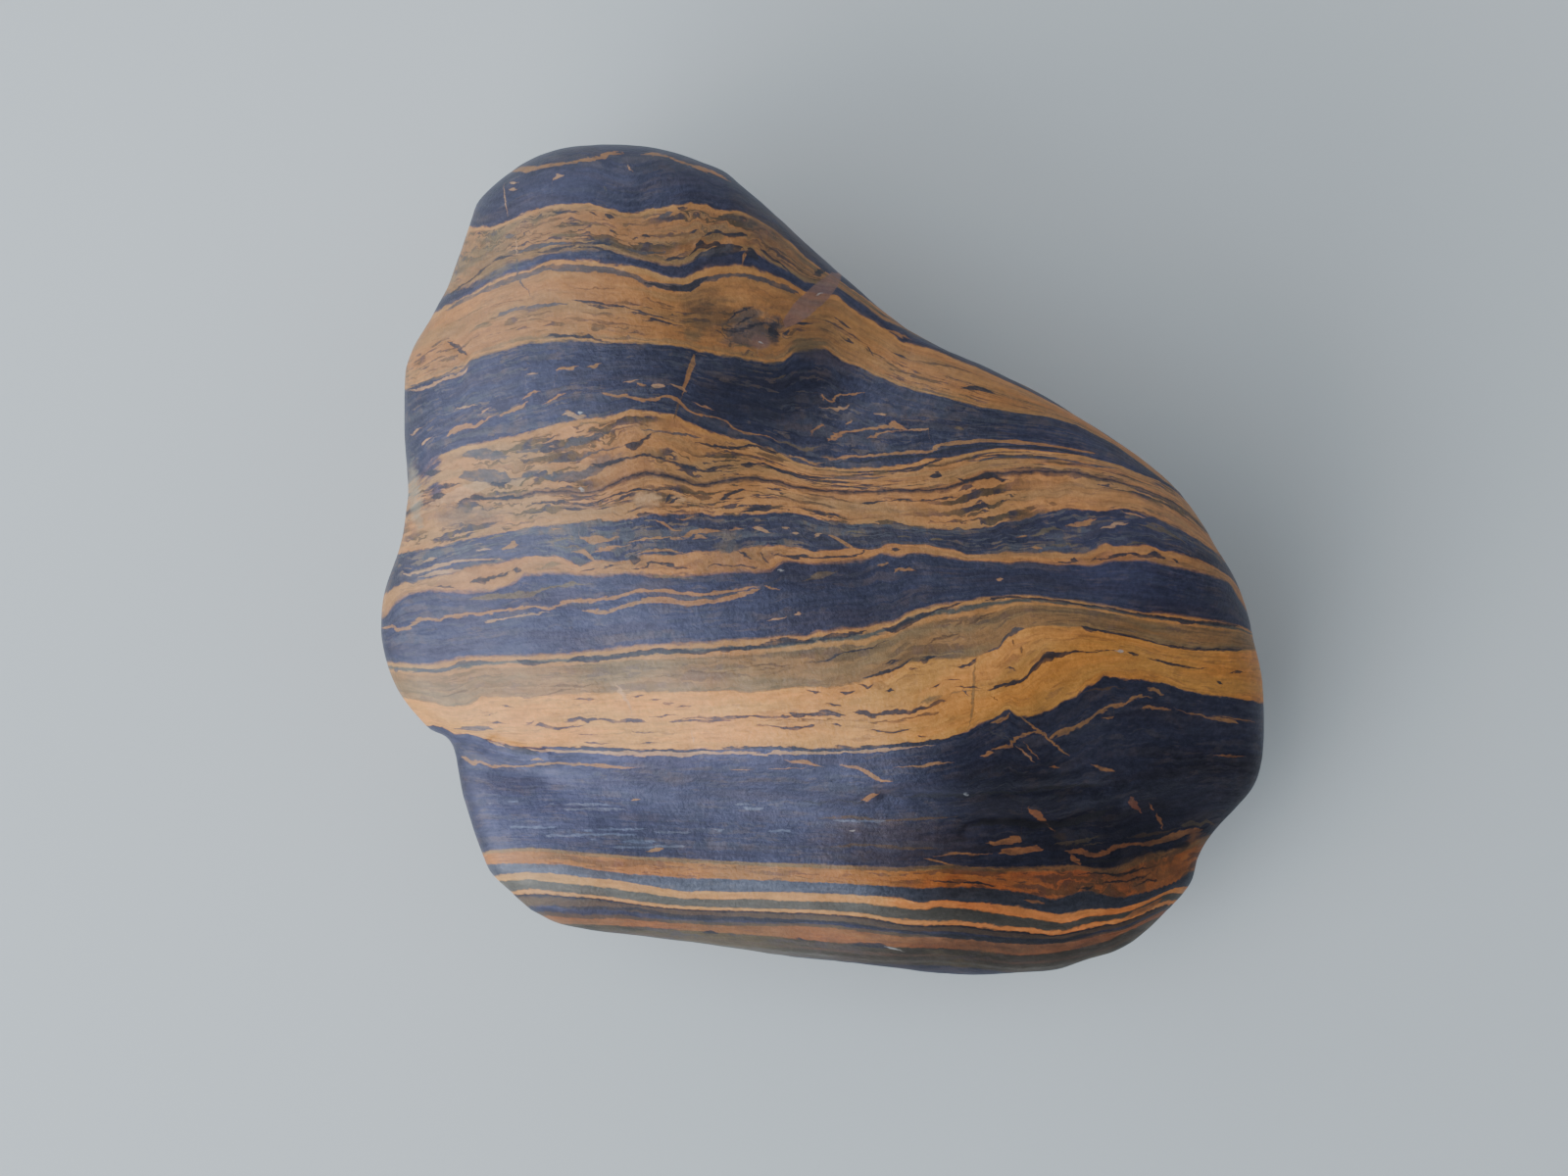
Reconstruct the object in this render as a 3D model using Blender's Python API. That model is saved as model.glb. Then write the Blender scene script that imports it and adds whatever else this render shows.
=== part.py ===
"""Rough tiger iron: a water-worn hand specimen of banded ironstone, in one closed solid.

The stone formed as one piece, so it is one object. It starts as a cube with a fine grid
on each side. Every point of the grid is a direction out of the middle, and the functions
below put it on the stone: the outline seen from above gives how far out it goes, and the
worn slopes, hollows and swells give how high.

The named sizes are millimetres, and MM turns them into metres. The origin is the middle
of the stone's box, on the surface that it lies on. +X is along its longest side, +Z is up.
"""

import bmesh
import bpy
import numpy as np

MM = 0.001

# Driving sizes
LENGTH = 120.0  # along X
WIDTH = 112.7  # along Y
HEIGHT = 53.0  # along Z
GRID_CELLS = 28  # along each edge of the starting cube

# The outline seen from above, anticlockwise from the right-hand end
OUTLINE = (
    (59.9, -23.3), (59.4, -16.0), (58.2, -9.3), (56.3, -3.0), (52.7, 3.4), (48.4, 9.2),
    (42.6, 14.2), (30.3, 21.3), (21.3, 26.0), (14.6, 29.1), (8.9, 32.7), (0.5, 40.1),
    (-10.3, 49.8), (-15.3, 53.4), (-25.4, 56.3), (-37.5, 55.6), (-46.2, 50.3), (-48.1, 46.5),
    (-51.3, 36.8), (-55.7, 28.9), (-56.8, 24.0), (-56.3, 12.7), (-56.5, 7.5), (-57.8, 1.1),
    (-59.6, -4.3), (-60.0, -9.3), (-59.0, -14.7), (-57.0, -18.7), (-53.8, -22.4),
    (-50.7, -24.5), (-48.7, -32.4), (-45.7, -41.0), (-42.6, -44.4), (-38.5, -47.7),
    (-33.0, -49.6), (-17.4, -51.7), (-5.4, -53.6), (7.9, -55.2), (19.0, -56.4),
    (30.1, -56.0), (35.9, -54.4), (42.0, -51.3), (48.9, -44.7), (50.9, -39.7),
    (53.3, -36.3), (58.6, -30.4),
)
MIDDLE = (0.0, -4.0)  # the point that the outline is measured from
OUTLINE_STEPS = 16  # points of the curve between two points of the outline
SOFTENING = 50.0  # degrees either side over which the inner contours lose the notches
NOTCH_FADE = 4.0  # higher powers keep the notches nearer to the rim

# The rim is where the stone is widest. Its right-hand back side is steep and high.
RIM_HEIGHT = 25.0
STEEP_SIDE = 45.0  # degrees, the way the steep side faces
STEEP_RISE = 9.0
LOW_SIDE = -50.0  # degrees, the way the low corner faces
LOW_DROP = 8.0
SHOULDER = 3.3  # 2 is an ellipse, and a higher power is a squarer shoulder
STEEP_SHOULDER = 2.2  # added on the steep side
BELLY = 2.9  # the same power for the lower half
SHOULDER_RISE = 14.0  # the upper side stays at least this far over the rim
BELLY_FALL = 14.0  # and the lower side this far under it
ROUNDING = 6.0  # how softly these two limits are met

# Slopes worn on the upper side: degrees that each falls towards, start, steepness
TOP_LEVEL = 54.0
TOP_TILT = 0.04  # the upper side falls this much a millimetre along X
UPPER_SLOPES = (
    (186.0, 32.0, 0.55),
    (232.0, 13.0, 0.55),
    (52.0, 27.0, 0.16),
    (-48.0, 29.0, 0.80),
    (-92.0, 44.0, 0.80),
)
UPPER_BLEND = 3.0  # how far two slopes run into each other

# Slopes of the lower side, which rise outwards from the flat patch that it rests on
LOWER_SLOPES = (
    (20.0, 31.0, 0.34),
    (108.0, 30.0, 0.42),
    (190.0, 36.0, 0.30),
    (262.0, 33.0, 0.38),
    (318.0, 36.0, 0.45),
)
LOWER_BLEND = 2.0
SINK = 2.6  # how far the belly is worn off flat where it rests

# Hollows on the upper side: middle, half length, half width, turn in degrees, depth.
# A negative depth is a swell.
HOLLOWS = (
    (3.0, 29.0, 24.0, 12.0, 45.0, 6.0),
    (-14.0, 33.5, 6.5, 4.5, 10.0, 1.0),
    (-5.0, -33.0, 60.0, 5.5, -4.0, 2.6),
    (-12.0, -44.0, 36.0, 4.0, -4.0, -1.2),
    (-43.0, -26.0, 12.0, 3.6, -12.0, 2.2),
    (-46.0, 12.0, 16.0, 5.0, 8.0, 1.0),
    (-30.0, 0.0, 22.0, 5.0, 8.0, 0.8),
    (46.5, -38.5, 6.5, 4.0, 40.0, 2.6),
    (12.0, -39.0, 9.0, 3.5, 0.0, 0.7),
    (30.0, -12.0, 17.0, 5.0, 18.0, -1.3),
)

# Ledges on the upper side: middle, half length, turn in degrees, rise, half width of
# the step. The ground past the step, on its left-hand side, stands higher.
LEDGES = (
    (-44.0, -25.5, 9.0, -10.0, 1.0, 1.1),
    (44.0, -31.0, 8.0, 25.0, 0.9, 1.3),
    (47.5, -41.5, 6.0, 45.0, 0.9, 1.2),
    (18.0, -31.5, 14.0, -3.0, 0.5, 1.2),
)


def turned(x, y, place, degrees):
    """Distances along and across a direction, from a place."""
    turn = np.radians(degrees)
    dx = x - place[0]
    dy = y - place[1]
    along = dx * np.cos(turn) + dy * np.sin(turn)
    across = dy * np.cos(turn) - dx * np.sin(turn)
    return along, across


def closed_curve(points, steps):
    """A smooth closed curve through all the points, a cubic between each two of them."""
    here = np.asarray(points, float)[:, None]
    before, after, beyond = (np.roll(here, shift, 0) for shift in (1, -1, -2))
    t = np.linspace(0.0, 1.0, steps, endpoint=False)[None, :, None]
    bend = 2 * before - 5 * here + 4 * after - beyond
    twist = 3 * (here - after) + beyond - before
    return (here + 0.5 * t * (after - before + t * (bend + t * twist))).reshape(-1, 2)


def outline_radii():
    """The outline as distances from MIDDLE, a half degree apart, sharp and softened."""
    curve = closed_curve(OUTLINE, OUTLINE_STEPS) - MIDDLE
    angles = np.arctan2(curve[:, 1], curve[:, 0])
    compass = np.radians(np.arange(-180.0, 180.0, 0.5))
    sharp = np.interp(compass, *in_order(angles, np.hypot(*curve.T)), period=2 * np.pi)
    reach = int(SOFTENING * 2)
    weights = np.hanning(2 * reach + 3)[1:-1]
    wrapped = np.concatenate([sharp[-reach:], sharp, sharp[:reach]])
    return compass, sharp, np.convolve(wrapped, weights / weights.sum(), "valid")


def in_order(angles, radii):
    order = np.argsort(angles)
    return angles[order], radii[order]


def facing(angle, degrees, power):
    """1 where an angle looks the given way, down to 0 a quarter turn from it."""
    return np.clip(np.cos(angle - np.radians(degrees)), 0.0, 1.0) ** power


def slopes(x, y, table, blend, rising):
    """How far the slopes of a table take the ground down, or up, run softly together."""
    falls = [np.zeros_like(x)]
    for degrees, start, steepness in table:
        along, _ = turned(x, y, (0.0, 0.0), degrees)
        falls.append(steepness * (along - start))
    total = blend * np.log(np.exp(np.array(falls) / blend).sum(0))
    return total if rising else -total


def hollows(x, y):
    """Round-bottomed hollows: each a bell curve along and across its own direction."""
    depth = np.zeros_like(x)
    for cx, cy, half_length, half_width, degrees, deep in HOLLOWS:
        along, across = turned(x, y, (cx, cy), degrees)
        depth += deep * np.exp(-((along / half_length) ** 2) - (across / half_width) ** 2)
    return depth


def ledges(x, y):
    """Steps: a smooth rise across each ledge's line, fading out past its two ends."""
    rise = np.zeros_like(x)
    for cx, cy, half_length, degrees, high, soft in LEDGES:
        along, across = turned(x, y, (cx, cy), degrees)
        fade = np.exp(-((along / half_length) ** 4) - (across / half_length) ** 2)
        rise += high * np.tanh(across / soft) * fade
    return rise


def upper_side(x, y, rim):
    ground = TOP_LEVEL - TOP_TILT * x + slopes(x, y, UPPER_SLOPES, UPPER_BLEND, False)
    return higher(ground, rim + SHOULDER_RISE) - hollows(x, y) + ledges(x, y)


def lower_side(x, y, rim):
    ground = slopes(x, y, LOWER_SLOPES, LOWER_BLEND, True) - SINK
    return -higher(-ground, BELLY_FALL - rim)


def higher(a, b):
    """The higher of two heights, with the corner between them rounded."""
    return 0.5 * (a + b + np.sqrt((a - b) ** 2 + ROUNDING**2))


def on_shoulder(level, up, power):
    """A direction's place on the curve level**power + up**power = 1."""
    size = (level**power + up**power) ** (1.0 / power)
    return level / size, up / size


def stone_points(directions):
    """The stone's surface, one point for each direction, in millimetres."""
    angle = np.arctan2(directions[:, 1], directions[:, 0])
    level = np.hypot(directions[:, 0], directions[:, 1])
    above = directions[:, 2] > 0.0
    steep = facing(angle, STEEP_SIDE, 2.0)
    power = np.where(above, SHOULDER + STEEP_SHOULDER * steep, BELLY)
    out, up = on_shoulder(level, np.abs(directions[:, 2]), power)

    compass, sharp, soft = outline_radii()
    sharpness = out**NOTCH_FADE
    radius = np.interp(angle, compass, sharp, period=2 * np.pi) * sharpness
    radius += np.interp(angle, compass, soft, period=2 * np.pi) * (1.0 - sharpness)
    x = MIDDLE[0] + out * radius * np.cos(angle)
    y = MIDDLE[1] + out * radius * np.sin(angle)

    lift = STEEP_RISE * facing(angle, STEEP_SIDE, 1.5) - LOW_DROP * facing(angle, LOW_SIDE, 1.5)
    rim = RIM_HEIGHT + lift * out**2
    ground = np.where(above, upper_side(x, y, rim), lower_side(x, y, rim))
    z = rim + (ground - rim) * up
    return np.stack([x, y, np.maximum(z, 0.0)], axis=1)


def fitted(points):
    """The points brought to the driving sizes, centred over the origin and resting on it."""
    lowest, highest = points.min(0), points.max(0)
    size = np.array([LENGTH, WIDTH, HEIGHT])
    middle = np.array([0.5, 0.5, 0.0])
    return ((points - lowest) / (highest - lowest) - middle) * size


def evenly_spread(cube_points):
    """Points of a cube turned into directions that lie about evenly round a ball."""
    spread = np.tan(cube_points * np.pi / 4)
    return spread / np.linalg.norm(spread, axis=1)[:, None]


def make_stone():
    mesh = bpy.data.meshes.new("stone")
    cage = bmesh.new()
    bmesh.ops.create_cube(cage, size=2.0)
    bmesh.ops.subdivide_edges(
        cage, edges=cage.edges[:], cuts=GRID_CELLS - 1, use_grid_fill=True
    )
    cage.to_mesh(mesh)
    cage.free()
    corners = np.empty(len(mesh.vertices) * 3, np.float32)
    mesh.vertices.foreach_get("co", corners)
    directions = evenly_spread(corners.reshape(-1, 3).astype(float))
    points = fitted(stone_points(directions)) * MM
    mesh.vertices.foreach_set("co", points.astype(np.float32).ravel())
    mesh.shade_smooth()
    mesh.update()
    return bpy.data.objects.new("stone", mesh)


def ironstone():
    """One even colour between the dark iron bands and the ochre ones."""
    material = bpy.data.materials.new("banded ironstone")
    material.use_nodes = True
    shader = material.node_tree.nodes["Principled BSDF"]
    shader.inputs["Base Color"].default_value = (0.165, 0.107, 0.070, 1.0)
    shader.inputs["Roughness"].default_value = 0.48
    shader.inputs["Metallic"].default_value = 0.0
    return material


def main():
    for old in list(bpy.data.objects):
        bpy.data.objects.remove(old)
    specimen = bpy.data.collections.new("rough tiger iron")
    bpy.context.scene.collection.children.link(specimen)
    stone = make_stone()
    stone.data.materials.append(ironstone())
    specimen.objects.link(stone)


main()
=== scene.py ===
"""Rough tiger iron, finished: a water-worn hand specimen of banded ironstone.

The stone is one closed surface, worked out with numpy from the same outline, slopes and
hollows as the solid that it replaces, on a finer grid and with its worn relief. Each of its
points also carries its place among the beds of rock, so that the material can lay iron,
ochre and olive down in their order and fold them where the real beds fold.

Sizes are millimetres, and MM turns them into metres. Places read on the photograph are its
pixels, in a frame of 1600 by 1200, and in_plan turns them into millimetres.
"""

import bpy
import numpy as np
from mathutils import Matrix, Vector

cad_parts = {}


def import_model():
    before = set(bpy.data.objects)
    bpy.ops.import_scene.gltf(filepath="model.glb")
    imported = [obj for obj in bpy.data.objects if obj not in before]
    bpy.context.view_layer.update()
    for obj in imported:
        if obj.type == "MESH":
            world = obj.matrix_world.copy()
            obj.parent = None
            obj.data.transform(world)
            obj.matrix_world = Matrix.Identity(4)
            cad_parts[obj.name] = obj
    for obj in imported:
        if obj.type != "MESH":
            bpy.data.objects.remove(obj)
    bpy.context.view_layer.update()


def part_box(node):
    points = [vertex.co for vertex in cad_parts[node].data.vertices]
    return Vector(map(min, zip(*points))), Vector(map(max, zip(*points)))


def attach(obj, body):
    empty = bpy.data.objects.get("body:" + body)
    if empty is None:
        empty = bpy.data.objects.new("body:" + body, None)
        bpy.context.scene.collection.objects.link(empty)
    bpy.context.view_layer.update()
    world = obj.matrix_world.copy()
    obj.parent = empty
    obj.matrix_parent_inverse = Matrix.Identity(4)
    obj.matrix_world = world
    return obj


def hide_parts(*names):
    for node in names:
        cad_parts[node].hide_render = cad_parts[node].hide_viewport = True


MM = 0.001

# The photograph: how it maps onto the stone's plan
PHOTO_WIDTH = 1600
PHOTO_HEIGHT = 1200
PIXELS_PER_MM = 7.5  # at the height of the rim
STONE_MIDDLE = (840.5, 575.2)  # the pixel over the middle of the stone's box
LENS = 100.0  # millimetres
SENSOR = 36.0  # millimetres

# Shape: the same named sizes as the solid's, but for an outline a little truer to the
# photograph's at the right and at one corner of the top. The outline is seen from above,
# anticlockwise from the right-hand end.
OUTLINE = (
    (59.9, -23.3), (59.4, -16.0), (57.8, -9.4), (55.7, -3.2), (51.9, 3.0), (47.8, 8.7),
    (42.2, 13.7), (30.3, 21.3), (21.3, 26.0), (14.6, 29.1), (8.9, 32.7), (0.5, 40.1),
    (-10.3, 49.8), (-15.3, 53.4), (-25.4, 56.3), (-37.5, 55.6), (-45.7, 50.0), (-48.0, 45.6),
    (-51.3, 36.8), (-55.7, 28.9), (-56.8, 24.0), (-56.3, 12.7), (-56.5, 7.5), (-57.8, 1.1),
    (-59.6, -4.3), (-60.0, -9.3), (-59.0, -14.7), (-57.0, -18.7), (-53.8, -22.4),
    (-50.7, -24.5), (-48.7, -32.4), (-45.7, -41.0), (-42.6, -44.4), (-38.5, -47.7),
    (-33.0, -49.6), (-17.4, -51.7), (-5.4, -53.6), (7.9, -55.2), (19.0, -56.4),
    (30.1, -56.0), (35.9, -54.4), (42.5, -51.9), (49.5, -45.2), (51.4, -40.1),
    (53.6, -36.6), (58.6, -30.4),
)
MIDDLE = (0.0, -4.0)  # the point that the outline is measured from
OUTLINE_STEPS = 16  # points of the curve between two points of the outline
SOFTENING = 50.0  # degrees either side over which the inner contours lose the notches
NOTCH_FADE = 4.0  # higher powers keep the notches nearer to the rim

# The rim is where the stone is widest. Its right-hand back side is steep and high.
RIM_HEIGHT = 25.0
STEEP_SIDE = 45.0  # degrees, the way the steep side faces
STEEP_RISE = 9.0
RISE_FADE = 1.5  # higher powers narrow the steep side's rise and the low corner's drop
LOW_SIDE = -50.0  # degrees, the way the low corner faces
LOW_DROP = 8.0
SHOULDER = 3.3  # 2 is an ellipse, and a higher power is a squarer shoulder
STEEP_SHOULDER = 2.2  # added on the steep side
SHOULDER_FADE = 2.0  # the power that narrows what is added
BELLY = 2.9  # the same power for the lower half
SHOULDER_RISE = 14.0  # the upper side stays at least this far over the rim
BELLY_FALL = 14.0  # and the lower side this far under it
ROUNDING = 6.0  # how softly these two limits are met

# Slopes worn on the upper side: degrees that each falls towards, start, steepness
TOP_LEVEL = 54.0
TOP_TILT = 0.04  # the upper side falls this much a millimetre along X
UPPER_SLOPES = (
    (186.0, 32.0, 0.55),
    (232.0, 13.0, 0.55),
    (52.0, 27.0, 0.16),
    (-48.0, 29.0, 0.80),
    (-92.0, 44.0, 0.80),
)
UPPER_BLEND = 3.0  # how far two slopes run into each other

# Slopes of the lower side, which rise outwards from the flat patch that it rests on
LOWER_SLOPES = (
    (20.0, 31.0, 0.34),
    (108.0, 30.0, 0.42),
    (190.0, 36.0, 0.30),
    (262.0, 33.0, 0.38),
    (318.0, 36.0, 0.45),
)
LOWER_BLEND = 2.0
SINK = 2.6  # how far the belly is worn off flat where it rests

# Hollows on the upper side: middle, half length, half width, turn in degrees, depth.
# A negative depth is a swell.
HOLLOWS = (
    (3.0, 29.0, 24.0, 12.0, 45.0, 6.0),
    (-14.0, 33.5, 6.5, 4.5, 10.0, 1.0),
    (-5.0, -33.0, 60.0, 5.5, -4.0, 2.6),
    (-12.0, -44.0, 36.0, 4.0, -4.0, -1.2),
    (-43.0, -26.0, 12.0, 3.6, -12.0, 2.2),
    (-46.0, 12.0, 16.0, 5.0, 8.0, 1.0),
    (-30.0, 0.0, 22.0, 5.0, 8.0, 0.8),
    (46.5, -38.5, 6.5, 4.0, 40.0, 2.6),
    (12.0, -39.0, 9.0, 3.5, 0.0, 0.7),
    (30.0, -12.0, 17.0, 5.0, 18.0, -1.3),
)

# Ledges on the upper side: middle, half length, turn in degrees, rise, half width of
# the step. The ground past the step, on its left-hand side, stands higher.
LEDGES = (
    (-44.0, -25.5, 9.0, -10.0, 1.0, 1.1),
    (44.0, -31.0, 8.0, 25.0, 0.9, 1.3),
    (47.5, -41.5, 6.0, 45.0, 0.9, 1.2),
    (18.0, -31.5, 14.0, -3.0, 0.5, 1.2),
)

# The finer grid of the surface: cells along the level edges and down the upright ones
LEVEL_CELLS = 164
UPRIGHT_CELLS = 66

# Worn relief: the wavelength, the height and the random seed of each kind of swell
SWELLS = ((17.0, 0.16, 10), (7.0, 0.045, 11), (3.2, 0.016, 12), (1.8, 0.007, 13))
WAVES = 14  # how many plane waves make a swell
WAVE_SPREAD = (0.6, 1.4)  # how many of a plane wave go to one wavelength of the swell
SWELL_PEAK = 1.5  # about how high they add up, over the root of their number
IRON_PROUD = 0.10  # how far the hard iron beds stand over the softer ochre

# Grooves worn or broken into the surface: half width and depth, then the pixels they follow
GROOVES = (
    (0.60, 0.75, ((503, 756), (516, 762), (530, 766), (545, 770), (556, 771))),
    (0.50, 0.40, ((900, 812), (950, 813), (985, 812), (1025, 808), (1065, 805), (1130, 803))),
    (0.75, 0.90, ((986, 846), (1003, 840), (1040, 839), (1055, 842), (1085, 841), (1115, 832),
                  (1145, 822))),
    (0.50, 0.55, ((456, 347), (464, 353), (476, 363))),
    (0.70, 0.45, ((704, 252), (712, 258), (724, 250), (738, 250))),
    (0.90, 0.35, ((738, 334), (752, 326), (770, 322), (784, 334), (796, 342))),
    (0.45, 0.30, ((976, 490), (1000, 487), (1024, 489))),
    (0.45, 0.30, ((712, 362), (704, 382), (697, 402))),
)
GROOVE_FADE = 5.0  # how far under the rim the grooves die out

# Lines between beds, traced on the photograph from the top of the stone to its foot
LINES = {}
LINES["knotted ochre"] = (
    (440, 246), (479, 231), (500, 232), (510, 229), (540, 215), (560, 210), (575, 208), (600, 208),
    (612, 211), (630, 216), (640, 218), (655, 217), (665, 213), (700, 206), (720, 208), (727, 212),
    (738, 216), (745, 213), (755, 216), (765, 220), (780, 229), (793, 237), (806, 248), (820, 261),
    (835, 273), (880, 303), (930, 338), (1000, 368), (1100, 418), (1200, 480), (1290, 560),
)
LINES["upper seam"] = (
    (420, 322), (440, 308), (456, 299), (470, 295), (480, 292), (500, 278), (510, 272), (520, 267),
    (530, 266), (540, 264), (560, 258), (580, 256), (620, 254), (640, 262), (660, 266), (680, 272),
    (692, 271), (700, 270), (710, 263), (720, 259), (730, 257), (740, 254), (757, 255), (770, 254),
    (780, 263), (790, 270), (810, 280), (820, 287), (830, 289), (850, 290), (865, 298), (880, 309),
    (900, 325), (915, 331), (945, 347), (1000, 371), (1100, 421), (1200, 484), (1290, 566),
)
LINES["upper ochre"] = (
    (420, 338), (440, 322), (456, 311), (470, 304), (480, 300), (490, 293), (510, 283), (530, 277),
    (540, 275), (560, 265), (580, 264), (600, 265), (620, 269), (640, 270), (660, 274), (680, 282),
    (700, 284), (710, 277), (720, 273), (740, 271), (757, 270), (770, 272), (780, 277), (800, 285),
    (810, 290), (820, 297), (830, 299), (855, 301), (865, 311), (880, 322), (890, 327), (900, 333),
    (920, 349), (945, 355), (970, 364), (1000, 376), (1050, 399), (1100, 425), (1200, 491),
    (1290, 572),
)
LINES["upper iron"] = (
    (415, 397), (444, 386), (470, 380), (476, 373), (480, 367), (500, 361), (515, 357), (530, 352),
    (545, 350), (584, 349), (600, 349), (620, 351), (660, 351), (683, 352), (700, 355), (712, 360),
    (730, 363), (750, 366), (770, 370), (790, 372), (798, 371), (803, 367), (806, 362), (812, 358),
    (820, 356), (835, 355), (845, 357), (850, 362), (857, 367), (875, 374), (890, 382), (930, 398),
    (960, 405), (980, 410), (1000, 416), (1040, 422), (1060, 424), (1075, 427), (1100, 434),
    (1140, 455), (1200, 500), (1290, 590),
)
LINES["laminated ochre"] = (
    (400, 505), (425, 488), (442, 468), (470, 456), (500, 450), (520, 447), (545, 440), (560, 437),
    (570, 432), (580, 429), (600, 425), (620, 424), (640, 418), (660, 418), (680, 422), (690, 423),
    (700, 430), (735, 444), (750, 449), (762, 450), (775, 455), (787, 459), (800, 466), (815, 474),
    (830, 477), (860, 479), (920, 476), (935, 472), (945, 468), (960, 468), (975, 466), (985, 463),
    (1000, 460), (1020, 458), (1050, 459), (1100, 464), (1140, 474), (1160, 482), (1180, 489),
    (1195, 498), (1205, 505), (1215, 515), (1230, 532), (1290, 610),
)
LINES["dark lamina"] = (
    (400, 530), (430, 512), (470, 503), (500, 507), (528, 506), (545, 501), (560, 500), (580, 501),
    (600, 501), (612, 500), (620, 495), (640, 485), (650, 482), (660, 480), (675, 481), (690, 486),
    (700, 488), (707, 493), (720, 494), (730, 492), (737, 489), (750, 488), (760, 486), (790, 489),
    (800, 491), (810, 494), (830, 498), (860, 500), (880, 500), (925, 498), (950, 498), (965, 496),
    (975, 493), (985, 488), (995, 485), (1003, 481), (1022, 480), (1050, 478), (1080, 480),
    (1100, 480), (1140, 490), (1155, 494), (1170, 499), (1185, 505), (1200, 513), (1215, 525),
    (1230, 540), (1245, 558), (1290, 617),
)
LINES["flecked iron"] = (
    (400, 566), (410, 564), (430, 561), (450, 557), (490, 547), (510, 543), (530, 541), (560, 536),
    (600, 531), (645, 529), (655, 525), (700, 524), (712, 523), (730, 526), (780, 524), (800, 522),
    (815, 523), (830, 528), (850, 533), (870, 536), (905, 535), (920, 537), (960, 540), (985, 540),
    (1000, 538), (1015, 537), (1022, 532), (1045, 530), (1053, 528), (1060, 524), (1080, 521),
    (1087, 518), (1120, 520), (1150, 519), (1165, 523), (1180, 528), (1195, 535), (1210, 543),
    (1225, 552), (1240, 563), (1250, 573), (1260, 585), (1290, 622),
)
LINES["folded seam"] = (
    (380, 614), (405, 597), (413, 594), (420, 597), (430, 592), (460, 586), (468, 582), (480, 578),
    (505, 574), (517, 573), (525, 570), (535, 568), (550, 567), (565, 568), (575, 571), (583, 575),
    (590, 577), (600, 575), (605, 571), (625, 574), (640, 573), (660, 567), (690, 567), (705, 564),
    (735, 562), (752, 562), (760, 558), (775, 557), (800, 557), (820, 560), (830, 563), (848, 562),
    (862, 560), (872, 559), (880, 561), (890, 561), (898, 559), (905, 555), (945, 556), (960, 559),
    (980, 562), (985, 567), (1000, 566), (1020, 565), (1027, 562), (1040, 565), (1060, 564),
    (1100, 564), (1115, 561), (1122, 557), (1128, 554), (1138, 557), (1172, 556), (1180, 559),
    (1187, 563), (1195, 562), (1205, 564), (1235, 576), (1255, 588), (1262, 597), (1290, 640),
)
LINES["middle iron"] = (
    (385, 634), (395, 628), (403, 615), (415, 606), (435, 602), (445, 601), (460, 603), (475, 604),
    (500, 602), (510, 600), (520, 596), (530, 591), (533, 585), (575, 584), (605, 587), (635, 584),
    (650, 585), (665, 588), (700, 587), (730, 586), (745, 584), (783, 583), (790, 581), (794, 575),
    (800, 572), (820, 574), (835, 574), (862, 573), (875, 572), (885, 570), (891, 568), (898, 564),
    (910, 567), (918, 568), (925, 565), (940, 564), (955, 567), (970, 569), (985, 572), (1000, 572),
    (1020, 574), (1033, 576), (1040, 573), (1060, 574), (1080, 577), (1095, 576), (1110, 578),
    (1135, 573), (1150, 572), (1165, 572), (1180, 574), (1200, 580), (1215, 581), (1225, 585),
    (1235, 587), (1245, 590), (1255, 595), (1265, 612), (1290, 655),
)
LINES["olive ochre"] = (
    (385, 674), (400, 676), (430, 679), (450, 677), (465, 673), (480, 671), (520, 669), (560, 669),
    (590, 667), (630, 662), (650, 659), (690, 657), (720, 655), (740, 653), (775, 652), (800, 649),
    (825, 648), (830, 645), (845, 644), (850, 642), (875, 641), (885, 642), (890, 638), (900, 636),
    (910, 635), (918, 630), (925, 625), (935, 622), (945, 620), (955, 617), (970, 615), (990, 612),
    (1000, 609), (1035, 607), (1050, 607), (1070, 610), (1100, 613), (1115, 616), (1130, 618),
    (1165, 625), (1185, 626), (1215, 629), (1230, 632), (1250, 635), (1265, 638), (1275, 643),
    (1295, 655),
)
LINES["orange ochre"] = (
    (390, 708), (415, 712), (430, 714), (445, 717), (455, 720), (465, 721), (475, 719), (482, 716),
    (490, 711), (540, 711), (575, 708), (635, 706), (720, 706), (745, 704), (765, 706), (790, 703),
    (810, 700), (850, 700), (865, 697), (875, 696), (885, 692), (895, 689), (905, 687), (912, 684),
    (920, 679), (930, 674), (960, 672), (985, 672), (996, 671), (1004, 667), (1020, 661),
    (1028, 649), (1034, 645), (1042, 642), (1050, 640), (1065, 638), (1095, 639), (1105, 639),
    (1115, 642), (1130, 645), (1150, 648), (1165, 652), (1180, 657), (1200, 659), (1215, 662),
    (1235, 663), (1275, 662), (1295, 664),
)
LINES["dashed row"] = (
    (400, 733), (480, 743), (500, 744), (520, 741), (550, 741), (575, 740), (600, 736), (650, 735),
    (680, 736), (700, 734), (733, 734), (760, 732), (805, 731), (838, 728), (862, 731), (885, 729),
    (896, 730), (915, 727), (930, 726), (944, 722), (952, 720), (956, 716), (962, 712), (972, 707),
    (985, 704), (1012, 703), (1024, 699), (1038, 697), (1046, 691), (1053, 683), (1060, 678),
    (1064, 671), (1085, 668), (1100, 665), (1140, 664), (1160, 667), (1175, 672), (1195, 678),
    (1230, 682), (1290, 690),
)
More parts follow.
